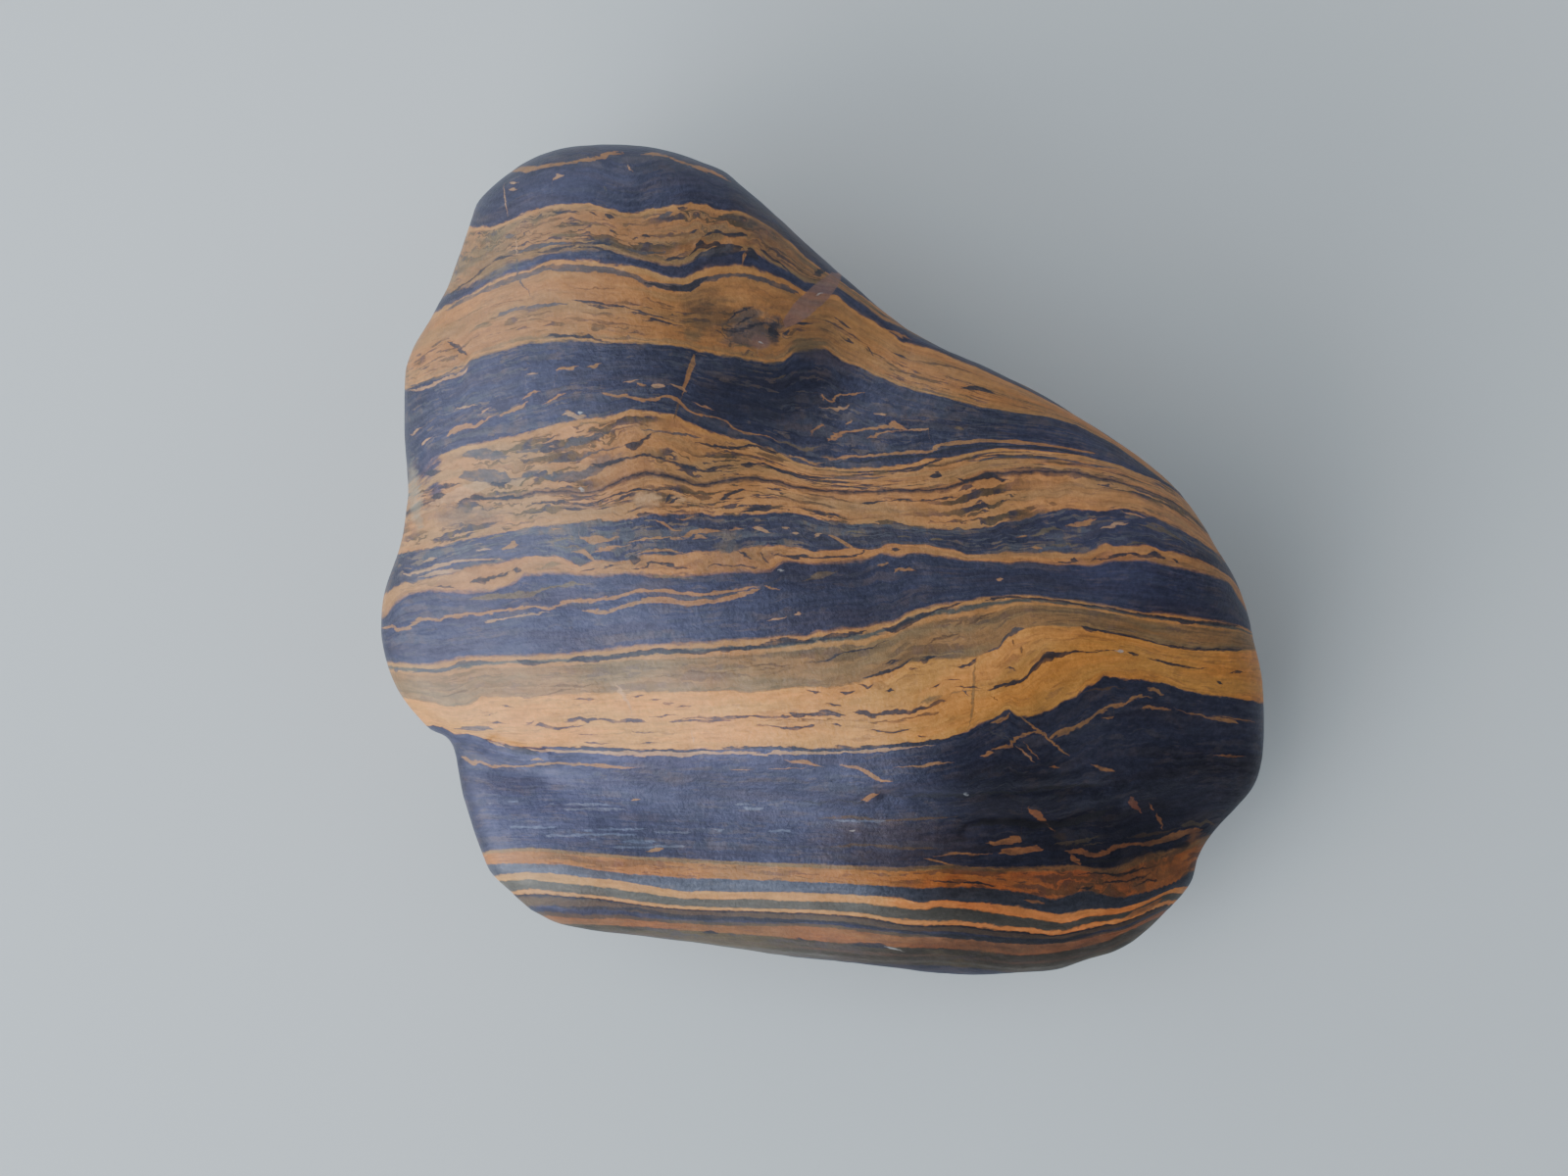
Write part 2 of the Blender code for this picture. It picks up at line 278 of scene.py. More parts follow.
LINES["lower iron"] = (
    (420, 735), (440, 737), (455, 742), (463, 748), (480, 748), (490, 751), (500, 755), (520, 760),
    (530, 762), (590, 762), (620, 764), (700, 765), (712, 763), (728, 764), (775, 763), (805, 762),
    (825, 765), (834, 762), (870, 763), (885, 763), (915, 759), (940, 758), (962, 754), (975, 750),
    (990, 746), (998, 738), (1010, 733), (1020, 729), (1026, 722), (1030, 721), (1033, 727),
    (1038, 730), (1048, 731), (1060, 728), (1070, 725), (1078, 720), (1085, 714), (1095, 711),
    (1101, 710), (1103, 703), (1108, 699), (1116, 697), (1122, 694), (1125, 688), (1140, 690),
    (1150, 693), (1165, 692), (1195, 698), (1205, 703), (1235, 709), (1262, 713), (1278, 715),
    (1295, 719),
)
LINES["striped ochre"] = (
    (480, 874), (500, 868), (540, 866), (560, 867), (640, 873), (700, 877), (750, 879), (780, 881),
    (830, 882), (900, 885), (920, 886), (935, 885), (970, 883), (990, 885), (1070, 885),
    (1100, 883), (1115, 886), (1130, 887), (1140, 885), (1160, 875), (1180, 869), (1195, 867),
    (1215, 860), (1240, 850),
)
LINES["blue stripe"] = (
    (495, 882), (520, 881), (580, 882), (600, 886), (640, 892), (680, 894), (700, 896), (760, 897),
    (800, 899), (860, 901), (900, 904), (940, 906), (960, 905), (1000, 905), (1020, 908),
    (1040, 910), (1055, 913), (1070, 918), (1080, 917), (1100, 909), (1110, 907), (1130, 913),
    (1145, 916), (1160, 914), (1175, 910), (1190, 905), (1200, 902), (1215, 890),
)
LINES["pale stripe"] = (
    (490, 896), (512, 893), (540, 890), (560, 891), (600, 896), (620, 897), (660, 903), (680, 907),
    (700, 910), (800, 910), (850, 912), (900, 915), (915, 916), (925, 918), (933, 921), (945, 922),
    (950, 920), (965, 918), (980, 920), (1000, 921), (1020, 923), (1040, 926), (1055, 928),
    (1070, 932), (1078, 934), (1085, 934), (1095, 932), (1105, 929), (1140, 927), (1170, 919),
    (1200, 905),
)
LINES["grey stripe"] = (
    (500, 899), (540, 897), (560, 900), (640, 908), (660, 911), (680, 915), (700, 917), (760, 917),
    (800, 919), (850, 920), (880, 921), (900, 924), (930, 928), (945, 929), (955, 926), (985, 927),
    (1000, 930), (1025, 933), (1040, 936), (1055, 937), (1080, 942), (1090, 942), (1110, 936),
    (1125, 934), (1140, 933), (1160, 928), (1190, 912),
)
LINES["fine stripe"] = (
    (510, 911), (540, 908), (560, 909), (600, 913), (640, 918), (660, 921), (700, 925), (760, 927),
    (800, 928), (850, 929), (870, 931), (885, 932), (900, 935), (912, 937), (940, 939), (960, 940),
    (975, 939), (1005, 941), (1015, 944), (1045, 945), (1060, 948), (1075, 949), (1085, 948),
    (1095, 946), (1105, 943), (1115, 941), (1130, 939), (1150, 936), (1190, 918),
)
LINES["dark stripe"] = (
    (520, 913), (560, 912), (600, 915), (640, 921), (680, 926), (720, 928), (760, 929), (800, 931),
    (850, 933), (885, 936), (925, 944), (950, 945), (970, 944), (990, 945), (1005, 947),
    (1020, 950), (1040, 951), (1060, 953), (1075, 955), (1085, 954), (1095, 951), (1105, 949),
    (1120, 945), (1140, 943), (1190, 924),
)
LINES["red stripe"] = (
    (560, 935), (600, 939), (640, 938), (660, 941), (700, 943), (740, 944), (850, 946), (900, 953),
    (930, 956), (960, 956), (1000, 960), (1040, 963), (1080, 963), (1100, 960), (1125, 953),
    (1150, 948), (1190, 928),
)
LINES["green stripe"] = (
    (600, 943), (680, 947), (700, 949), (780, 955), (860, 963), (900, 966), (960, 967), (1040, 975),
    (1070, 973), (1100, 968), (1130, 960), (1190, 932),
)
LINE_SOFTENING = (-0.3, 0.0, 0.3)  # the places whose heights are averaged
LEAST_BED = 0.15  # two lines stay at least this far apart

# The pile of beds, from the top down: rock, thickness, and the traced line at its top
BEDS = (
    ("iron", 9.0, None),
    ("ochre", 3.2, None),
    ("iron", 2.4, None),
    ("olive", 2.0, None),
    ("iron", 15.0, None),
    ("ochre rind", 0.6, "knotted ochre"),
    ("knotted", 5.2, None),
    ("olive", 0.9, None),
    ("iron", 1.45, "upper seam"),
    ("ochre rind", 0.7, "upper ochre"),
    ("ochre", 3.8, None),
    ("streaked", 4.3, None),
    ("olive", 0.35, None),
    ("ochre rind", 0.3, None),
    ("olive", 0.25, None),
    ("wispy iron", 10.7, "upper iron"),
    ("ochre rind", 0.5, "laminated ochre"),
    ("laminated", 5.5, None),
    ("dark line", 0.55, "dark lamina"),
    ("laminated", 4.35, None),
    ("flecked iron", 4.6, "flecked iron"),
    ("folded", 2.0, "folded seam"),
    ("iron", 8.6, "middle iron"),
    ("ochre rind", 0.7, "olive ochre"),
    ("seam grey", 0.55, None),
    ("ochre rind", 0.5, None),
    ("olive", 4.25, None),
    ("orange", 4.0, "orange ochre"),
    ("orange", 4.0, "dashed row"),
    ("iron", 17.5, "lower iron"),
    ("olive", 0.45, "striped ochre"),
    ("striped", 1.85, None),
    ("blue iron", 1.6, "blue stripe"),
    ("pale rind", 1.1, "pale stripe"),
    ("seam grey", 1.3, "grey stripe"),
    ("pale rind", 0.4, "fine stripe"),
    ("dark line", 0.25, "dark stripe"),
    ("brown", 0.75, None),
    ("iron", 0.5, None),
    ("brown", 0.4, None),
    ("red ochre", 1.4, "red stripe"),
    ("dark olive", 0.9, "green stripe"),
    ("brown", 0.3, None),
    ("dark olive", 0.55, None),
    ("seam grey", 0.25, None),
    ("dark olive", 0.4, None),
    ("iron", 4.5, None),
    ("ochre", 2.4, None),
    ("iron", 1.6, None),
    ("red ochre", 1.4, None),
    ("iron", 12.0, None),
)

# Streaks within the beds, traced on the photograph from left to right. Each runs through
# points: pixels right, pixels down, and its thickness there in pixels. A point without a
# thickness is a tip.
STREAKS = {}
STREAKS["olive"] = (
    ((539, 226), (546, 226, 6), (553, 226)),
    ((558, 241), (570, 240, 4), (585, 239, 3), (600, 238)),
    ((476, 341), (485, 335, 4), (497, 332, 5), (503, 331)),
    ((748, 354), (760, 353, 5), (772, 352)),
    ((788, 388), (793, 387, 2), (799, 385, 3), (803, 382)),
    ((974, 437), (979, 437, 4), (984, 438)),
    ((788, 448), (796, 452, 2), (804, 453, 3), (822, 459, 2.5), (831, 458, 2), (838, 454)),
    ((588, 433), (600, 431, 4), (612, 430, 3), (622, 428)),
    ((742, 464), (758, 468, 1.5), (778, 472)),
    ((494, 551), (508, 548, 2), (515, 547)),
    ((558, 553), (568, 551, 3), (592, 549)),
    ((563, 558), (588, 558, 2), (600, 560)),
    ((862, 544), (870, 542, 3), (884, 544)),
    ((916, 548), (922, 547, 2), (931, 548)),
    ((948, 551), (956, 550, 3), (964, 551)),
    ((1050, 548), (1058, 546, 4), (1066, 542, 5), (1076, 539, 3), (1088, 542)),
    ((1070, 557), (1080, 556, 2.5), (1102, 556)),
    ((1148, 556), (1156, 553, 3), (1172, 555)),
    ((1163, 536), (1172, 537, 4), (1190, 543, 4), (1205, 551, 2), (1212, 556)),
    ((545, 581), (552, 580, 2), (558, 576, 4), (563, 575, 5), (570, 575, 2), (576, 577)),
    ((665, 589), (680, 588, 3), (700, 590, 2), (708, 590)),
    ((478, 612), (488, 610, 5), (515, 608, 5), (530, 606, 8), (542, 606, 5), (555, 602, 3),
     (580, 597, 3), (605, 596)),
    ((818, 593), (828, 589, 3), (838, 586, 6), (855, 583)),
    ((415, 711), (430, 714, 3), (445, 717, 3), (455, 720, 3), (475, 719, 3), (482, 716, 5),
     (488, 712, 4), (492, 710)),
    ((695, 705), (712, 705, 3), (745, 703, 4), (765, 705, 5), (790, 702, 4), (812, 700, 3),
     (850, 700, 2), (872, 697)),
    ((938, 719), (944, 716, 4), (950, 713, 5), (956, 711, 4), (961, 709)),
    ((966, 712), (972, 707, 1.5), (992, 704, 1.5), (1002, 703)),
    ((1076, 862), (1084, 861, 4), (1100, 860, 3), (1116, 856, 2), (1122, 853)),
    ((1104, 863), (1115, 861, 2), (1131, 857)),
    ((1204, 843), (1210, 841, 5), (1218, 840, 5), (1225, 842, 3), (1231, 837, 5), (1240, 842)),
)
STREAKS["grey"] = (
    ((671, 222), (676, 221, 4), (683, 218, 6), (687, 216)),
    ((514, 242), (520, 241, 5), (526, 239)),
    ((527, 259), (535, 255, 4), (545, 252, 5), (555, 250, 4), (575, 248, 3), (581, 249)),
    ((638, 253), (645, 255, 4), (655, 257, 3), (668, 258, 3), (680, 256)),
    ((452, 318), (462, 312, 5), (475, 305, 4), (487, 300, 4), (500, 294, 6), (520, 286, 6),
     (540, 280, 5), (560, 273, 7), (600, 274, 8), (620, 275, 7), (640, 279, 7), (650, 283, 6),
     (660, 289, 7), (680, 292, 6), (695, 294, 6), (706, 293, 11), (712, 288, 9), (720, 284, 5),
     (730, 284, 4), (750, 280, 3), (770, 284, 4), (785, 288, 6), (800, 293, 8), (810, 297, 5),
     (816, 299)),
    ((504, 324), (512, 320, 3), (525, 315, 3), (552, 312, 4), (575, 311, 2), (581, 311)),
    ((415, 394), (430, 391, 3), (450, 384, 2), (470, 375, 2), (477, 372)),
    ((572, 457), (580, 453, 7), (590, 450, 9), (602, 446, 6), (614, 442, 5), (629, 437)),
    ((655, 439), (662, 438, 3), (680, 440, 2.5), (690, 442, 3), (708, 444, 4), (716, 445)),
    ((470, 465), (478, 463, 7), (490, 463, 10), (500, 464, 11), (510, 465, 8), (520, 466)),
    ((525, 461), (535, 461, 4), (547, 460, 3), (551, 458)),
    ((555, 476), (566, 472, 2), (592, 468, 2), (600, 463, 4), (625, 457, 2), (641, 454)),
    ((468, 488), (474, 485, 9), (482, 485, 12), (494, 486, 14), (505, 487, 15), (515, 488, 13),
     (522, 492, 5), (530, 488, 3), (538, 484, 8), (546, 481, 5), (552, 480)),
    ((554, 487), (566, 487, 10), (592, 485, 11), (602, 482, 9), (612, 478, 7), (622, 475)),
    ((836, 487), (845, 488, 2), (866, 488, 3), (890, 488, 2.5), (910, 486)),
    ((985, 471), (1000, 470, 2), (1020, 466, 2), (1050, 467, 2), (1080, 468, 2), (1120, 476, 2),
     (1145, 478)),
    ((582, 570), (588, 572, 8), (593, 575, 9), (597, 573, 3), (600, 572)),
    ((740, 562), (744, 559, 8), (748, 556, 11), (752, 553)),
    ((690, 608), (700, 611, 3), (725, 610, 2), (766, 602)),
    ((402, 684), (405, 684, 7), (409, 683)),
    ((418, 687), (430, 684, 4), (445, 685, 4), (460, 682, 4), (470, 677, 5), (490, 676, 5),
     (503, 675)),
    ((1000, 668), (1012, 664, 2), (1019, 662, 3), (1024, 653, 5), (1028, 649, 5), (1038, 643, 6),
     (1047, 641)),
    ((462, 744), (480, 743, 5), (490, 743, 6), (498, 743, 5), (504, 745)),
)
STREAKS["brown"] = (
    ((528, 233), (540, 231, 2), (552, 229)),
    ((568, 231), (585, 230, 1.5), (600, 228, 1.5), (612, 229, 2), (628, 235)),
    ((530, 243), (545, 239, 1.5), (560, 240)),
    ((600, 239), (615, 241, 2.5), (630, 243)),
    ((452, 334), (470, 326, 1.5), (485, 317, 2), (500, 311)),
    ((500, 313), (515, 309, 1.5), (533, 306)),
    ((590, 317), (600, 319, 2), (615, 320, 3), (626, 321)),
    ((578, 293), (592, 294, 1.5), (612, 294, 1.5), (629, 296)),
    ((528, 326), (545, 321, 1.5), (560, 318, 1.5), (570, 318)),
    ((520, 331), (535, 327, 1.5), (550, 326, 1.5), (560, 327)),
    ((600, 326), (612, 329, 2), (630, 330, 2), (650, 333)),
    ((655, 304), (668, 308, 1.5), (680, 312, 1.5), (696, 316)),
    ((936, 368), (945, 370, 2), (975, 375, 2), (990, 380, 1.5), (1000, 384)),
    ((905, 375), (915, 378, 1.5), (940, 385, 2.5), (950, 388, 2), (975, 392)),
    ((625, 428), (640, 428, 1.5), (652, 431, 2), (662, 434)),
    ((768, 461), (775, 463, 3), (793, 468, 5), (800, 470, 3), (807, 471)),
    ((700, 506), (706, 504, 2), (715, 508, 5), (722, 508, 5), (729, 509)),
    ((762, 500), (775, 502, 1.5), (800, 507, 2), (812, 511, 2), (822, 513, 3), (835, 514, 2),
     (850, 518, 2), (861, 521)),
    ((820, 504), (832, 505, 2), (858, 510, 2), (880, 515)),
    ((1045, 518), (1052, 519, 4), (1059, 517)),
    ((1068, 511), (1074, 514, 4), (1079, 513)),
    ((458, 695), (462, 694, 2.5), (468, 693)),
    ((448, 711), (458, 710, 2), (474, 705, 2), (478, 704)),
    ((450, 705), (460, 704, 2), (475, 698)),
    ((555, 701), (575, 699, 2), (590, 700, 2), (618, 697)),
    ((540, 711), (565, 707, 2), (575, 704, 2), (591, 703)),
    ((625, 693), (635, 691, 1.5), (651, 690)),
    ((665, 691), (680, 690, 1.5), (692, 688)),
    ((700, 686), (712, 685, 2), (738, 687, 2), (750, 685, 1.5), (760, 681)),
    ((755, 682), (777, 678, 2), (798, 679, 2), (808, 677)),
    ((942, 660), (952, 655, 2), (963, 650, 3), (979, 646)),
    ((974, 639), (979, 636, 2.5), (984, 633)),
    ((986, 636), (994, 633, 2), (1010, 626, 2), (1018, 622)),
    ((886, 738), (892, 739, 2.5), (907, 736, 1.5), (920, 735, 3), (935, 731, 2), (955, 728, 5),
     (960, 727)),
    ((760, 735), (830, 734, 1.5), (885, 736)),
    ((1150, 855), (1162, 853, 3), (1188, 849, 3), (1206, 844)),
    ((809, 893), (817, 895, 1.5), (831, 897)),
    ((1100, 706), (1112, 704, 2), (1130, 703, 2), (1150, 701)),
    ((835, 836), (870, 834, 3), (900, 838, 2), (940, 836, 3), (980, 834)),
    ((845, 864), (880, 862, 3), (930, 866, 3), (975, 865)),
)
STREAKS["ochre"] = (
    ((519, 175), (530, 173, 4), (537, 173, 6), (548, 171, 2.5), (571, 167, 2.5), (582, 166, 1),
     (600, 163, 4), (610, 161, 5), (620, 158, 5), (628, 156, 3), (636, 156)),
    ((652, 158), (660, 157, 2), (672, 157, 3), (680, 159, 1.5), (690, 163, 1.5), (700, 167, 2.5),
     (712, 171, 3), (722, 174, 4), (735, 180, 3), (746, 186)),
    ((566, 380), (575, 376, 3), (583, 376, 3.5), (591, 374)),
    ((598, 374), (602, 374, 2.5), (606, 374, 5), (610, 371, 3), (614, 370)),
    ((649, 391), (654, 393, 3), (660, 393)),
    ((508, 425), (515, 421, 2), (525, 418, 5), (533, 414, 4), (538, 409)),
    ((531, 408), (537, 403, 2.5), (545, 400, 2.5), (551, 400)),
    ((555, 412), (562, 408, 2), (570, 404, 2.5), (577, 401)),
    ((455, 447), (461, 441, 4), (468, 436, 5), (476, 434, 5), (485, 435, 4), (491, 431, 3),
     (499, 425, 1.5), (507, 421)),
    ((613, 401), (618, 402, 2), (628, 404, 2.5), (638, 403, 2.5), (655, 408, 3.5), (672, 407, 3),
     (680, 403, 3.5), (692, 408, 4), (697, 414, 4), (702, 419, 3), (709, 423, 3), (724, 425, 2),
     (742, 430, 2), (746, 436, 2), (755, 440, 2.5), (768, 443, 2), (782, 446, 1), (795, 450)),
    ((838, 404), (845, 410, 3), (851, 409, 3), (857, 404, 3), (864, 403, 2.5), (872, 402, 2),
     (884, 401)),
    ((862, 433), (866, 431, 4), (870, 429)),
    ((827, 441), (832, 437, 3), (838, 434, 2.5), (842, 434)),
    ((845, 449), (850, 447, 4), (856, 443, 5), (864, 441, 3), (890, 438, 3), (905, 435, 2),
     (912, 433, 6), (920, 436, 5), (926, 438)),
    ((885, 447), (893, 445, 3), (900, 441, 2.5), (910, 439, 1.5), (922, 438)),
    ((795, 462), (803, 465, 2), (813, 466, 2), (822, 470, 2), (833, 474, 2), (843, 474)),
    ((838, 466), (845, 466, 2), (860, 467, 2.5), (880, 466, 3), (900, 464, 3), (940, 461, 3),
     (950, 460, 3), (955, 456, 4), (962, 453, 4), (985, 451, 4), (1000, 449, 4), (1020, 450, 3),
     (1038, 451, 5), (1050, 452, 3), (1070, 455, 3), (1090, 458, 2), (1112, 462, 2), (1120, 463)),
    ((511, 561), (516, 559, 4), (521, 557, 7), (525, 555, 8), (528, 556)),
    ((583, 564), (590, 563, 3), (597, 564, 6), (603, 568, 5), (607, 572)),
    ((590, 549), (597, 549, 4), (604, 551, 8), (611, 551, 7), (618, 550, 4), (633, 548)),
    ((606, 563), (614, 561, 4), (628, 558, 2), (644, 555)),
    ((640, 553), (650, 551, 2), (675, 548, 2), (702, 549)),
    ((650, 566), (658, 563, 3), (680, 561, 3), (700, 565)),
    ((668, 531), (678, 534, 3), (690, 543, 2), (696, 541)),
    ((562, 541), (567, 540, 2), (573, 539)),
    ((690, 529), (698, 530, 2.5), (712, 526)),
    ((694, 547), (702, 546, 4), (708, 543, 5), (722, 541, 4), (738, 543)),
    ((705, 550), (712, 547, 4), (722, 549)),
    ((743, 540), (750, 539, 3), (760, 540)),
    ((846, 546), (850, 547, 3), (856, 551, 4), (862, 555, 4), (868, 558, 3), (874, 561)),
    ((1089, 537), (1096, 535, 6), (1104, 534, 6), (1112, 532, 5), (1121, 529)),
    ((1036, 548), (1043, 547, 2.5), (1050, 546)),
    ((1053, 560), (1058, 560, 2.5), (1064, 560)),
    ((388, 641), (393, 641, 2), (400, 639, 3), (405, 643, 3), (418, 640, 3), (425, 635, 3),
     (430, 632, 3), (450, 632, 2.5), (470, 628, 2.5), (480, 626, 3), (490, 627, 3), (500, 625, 4),
     (515, 623, 2), (540, 619, 2), (560, 620, 2), (568, 618, 2), (576, 614, 3), (600, 613, 3),
     (630, 609, 3), (650, 603, 3), (680, 603, 3), (705, 606, 3), (715, 607, 3), (730, 605, 2.5),
     (760, 601, 2), (775, 599)),
    ((592, 622), (600, 623, 2), (610, 624, 4), (620, 624, 3), (628, 621, 3), (640, 617, 4),
     (665, 612, 6), (680, 612, 6), (700, 616, 5), (720, 614, 5), (735, 612, 5), (750, 608, 5),
     (765, 604, 4), (776, 601)),
    ((780, 599), (785, 600, 2), (797, 602)),
    ((895, 577), (901, 575, 4), (907, 573)),
    ((911, 584), (917, 581, 3), (930, 581, 2), (935, 582)),
    ((470, 772), (475, 774, 4), (480, 778, 4), (485, 779, 7), (489, 777, 2), (494, 779, 3),
     (500, 782, 3), (535, 782, 1.5), (550, 780, 2.5), (575, 779, 2), (590, 780, 3), (620, 782, 3),
     (635, 783, 2), (651, 783)),
    ((542, 776), (548, 774, 2.5), (554, 776)),
    ((801, 775), (808, 776, 3), (816, 777, 4), (823, 777, 4), (830, 780, 2.5), (840, 783)),
    ((745, 786), (753, 785, 1.5), (768, 786)),
    ((785, 785), (800, 784, 1.5), (824, 784)),
    ((858, 781), (865, 782, 2), (873, 782, 3), (879, 785, 4), (886, 789, 5), (893, 793, 4),
     (900, 797, 3), (912, 797)),
    ((912, 783), (933, 782, 2), (941, 782, 3), (953, 779, 2.5), (975, 778)),
    ((880, 817), (884, 815, 4), (889, 813, 4), (899, 811)),
    ((644, 817), (648, 816, 3), (653, 815)),
    ((659, 869), (665, 868, 3), (671, 867, 4), (677, 866)),
    ((1001, 772), (1006, 770, 5), (1011, 768, 3), (1014, 767)),
    ((1011, 738), (1018, 736, 4), (1026, 733, 4), (1032, 729)),
    ((1012, 766), (1020, 763, 3), (1028, 761, 5), (1034, 758, 5), (1040, 751, 3), (1056, 747, 2),
     (1070, 751)),
    ((1072, 755), (1075, 753, 4), (1080, 749, 5), (1088, 746, 5), (1096, 744, 4), (1108, 737, 5),
     (1115, 731, 5), (1122, 726, 4), (1130, 722, 3), (1148, 718, 3), (1155, 713, 2.5),
     (1165, 711, 2), (1177, 712)),
    ((1126, 733), (1131, 731, 4), (1137, 729)),
    ((1165, 724), (1170, 722, 4), (1186, 723, 3), (1196, 724)),
    ((1171, 704), (1177, 703, 4), (1183, 706, 4), (1188, 709)),
    ((1200, 725), (1215, 728, 1.5), (1228, 731, 2), (1250, 735, 4), (1260, 737, 4), (1264, 739)),
    ((1235, 730), (1265, 734, 2), (1280, 736)),
    ((1070, 782), (1076, 782, 3), (1083, 784)),
    ((1114, 780), (1120, 783, 3), (1127, 785, 4), (1134, 786, 3), (1139, 787)),
    ((1238, 772), (1254, 771, 3), (1272, 772)),
    ((1007, 861), (1013, 861, 3), (1020, 860, 4), (1027, 858, 6), (1039, 856, 7), (1044, 857)),
    ((1018, 871), (1024, 869, 5), (1031, 869, 7), (1045, 868, 7), (1058, 866, 6), (1067, 868)),
    ((944, 876), (950, 877, 2), (966, 882, 1.5), (975, 884)),
    ((954, 874), (970, 870, 2), (995, 871, 1.5), (1015, 871)),
    ((1086, 868), (1090, 869, 4), (1103, 869, 5), (1118, 873, 5), (1126, 871, 6), (1140, 864, 5),
     (1156, 861, 3), (1165, 862, 3), (1172, 861, 6), (1188, 857, 5), (1204, 852, 7), (1212, 849, 5),
     (1220, 847, 4), (1228, 846)),
    ((1148, 936), (1155, 933, 5), (1163, 930, 5), (1172, 926, 5), (1180, 921, 4), (1187, 916)),
    ((1045, 919), (1052, 920, 3), (1060, 921, 2.5), (1068, 922)),
    ((892, 332), (905, 337, 2), (920, 343, 2), (931, 348)),
)
STREAKS["pale"] = (
    ((519, 186), (524, 186, 3), (529, 186)),
    ((519, 193), (523, 193, 3), (527, 192)),
    ((562, 183), (569, 180, 5), (576, 178)),
    ((536, 382), (541, 382, 2.5), (548, 381)),
    ((636, 390), (642, 389, 2.5), (652, 387)),
    ((663, 393), (668, 394, 4), (673, 393, 4), (679, 394)),
    ((683, 391), (689, 394, 2.5), (697, 397, 2.5), (700, 400)),
    ((706, 409), (714, 414, 2), (722, 416, 2), (728, 418)),
    ((463, 417), (474, 415, 2), (486, 413)),
    ((487, 424), (494, 419, 2), (500, 416)),
    ((573, 423), (580, 421, 5), (590, 425, 4), (598, 423)),
    ((430, 456), (434, 450, 4), (441, 446)),
    ((418, 444), (423, 440, 4), (429, 436)),
    ((413, 399), (435, 396, 3), (450, 388, 3), (465, 384, 3), (475, 380, 2), (479, 372)),
    ((836, 417), (853, 418, 2.5), (860, 417, 4), (868, 412)),
    ((893, 423), (899, 423, 2.5), (906, 422)),
    ((924, 438), (932, 439, 2.5), (946, 438, 2.5), (949, 436)),
    ((437, 515), (446, 513, 6), (458, 508, 11), (470, 503, 14), (484, 499, 14), (494, 496, 8),
     (503, 494)),
    ((518, 495), (524, 493, 6), (530, 491, 8), (536, 488)),
    ((410, 585), (418, 586, 3), (436, 582, 3), (446, 578, 3), (456, 576, 4), (464, 573, 3),
     (485, 571, 3), (511, 571)),
    ((425, 590), (440, 586, 3), (452, 584, 5), (460, 583, 3), (471, 581)),
    ((431, 573), (438, 571, 4), (446, 569)),
    ((485, 562), (494, 560, 2), (503, 560)),
    ((767, 538), (773, 539, 4), (780, 541, 4), (786, 543)),
    ((799, 538), (803, 538, 3), (807, 538)),
    ((809, 544), (813, 544, 3), (817, 545)),
    ((831, 547), (835, 545, 3), (839, 544)),
    ((1122, 539), (1132, 537, 4), (1142, 534, 3), (1153, 534)),
    ((1145, 522), (1153, 524, 2), (1162, 526, 2), (1170, 528)),
    ((494, 635), (502, 634, 3), (518, 631, 1.5), (540, 627, 2), (560, 624)),
    ((784, 634), (792, 632, 3), (803, 628)),
    ((811, 627), (814, 626, 5), (818, 627)),
    ((1017, 591), (1020, 591, 6), (1024, 591)),
    ((497, 756), (508, 760, 3), (520, 763, 2), (550, 766, 2), (600, 767, 3), (620, 768, 4),
     (660, 769, 5), (700, 770, 5), (715, 768, 4), (735, 769, 3), (750, 768, 3), (780, 770, 1.5),
     (792, 768, 3), (840, 768, 3), (865, 767, 2), (880, 767, 3), (905, 765, 2), (925, 762, 2),
     (956, 760)),
)
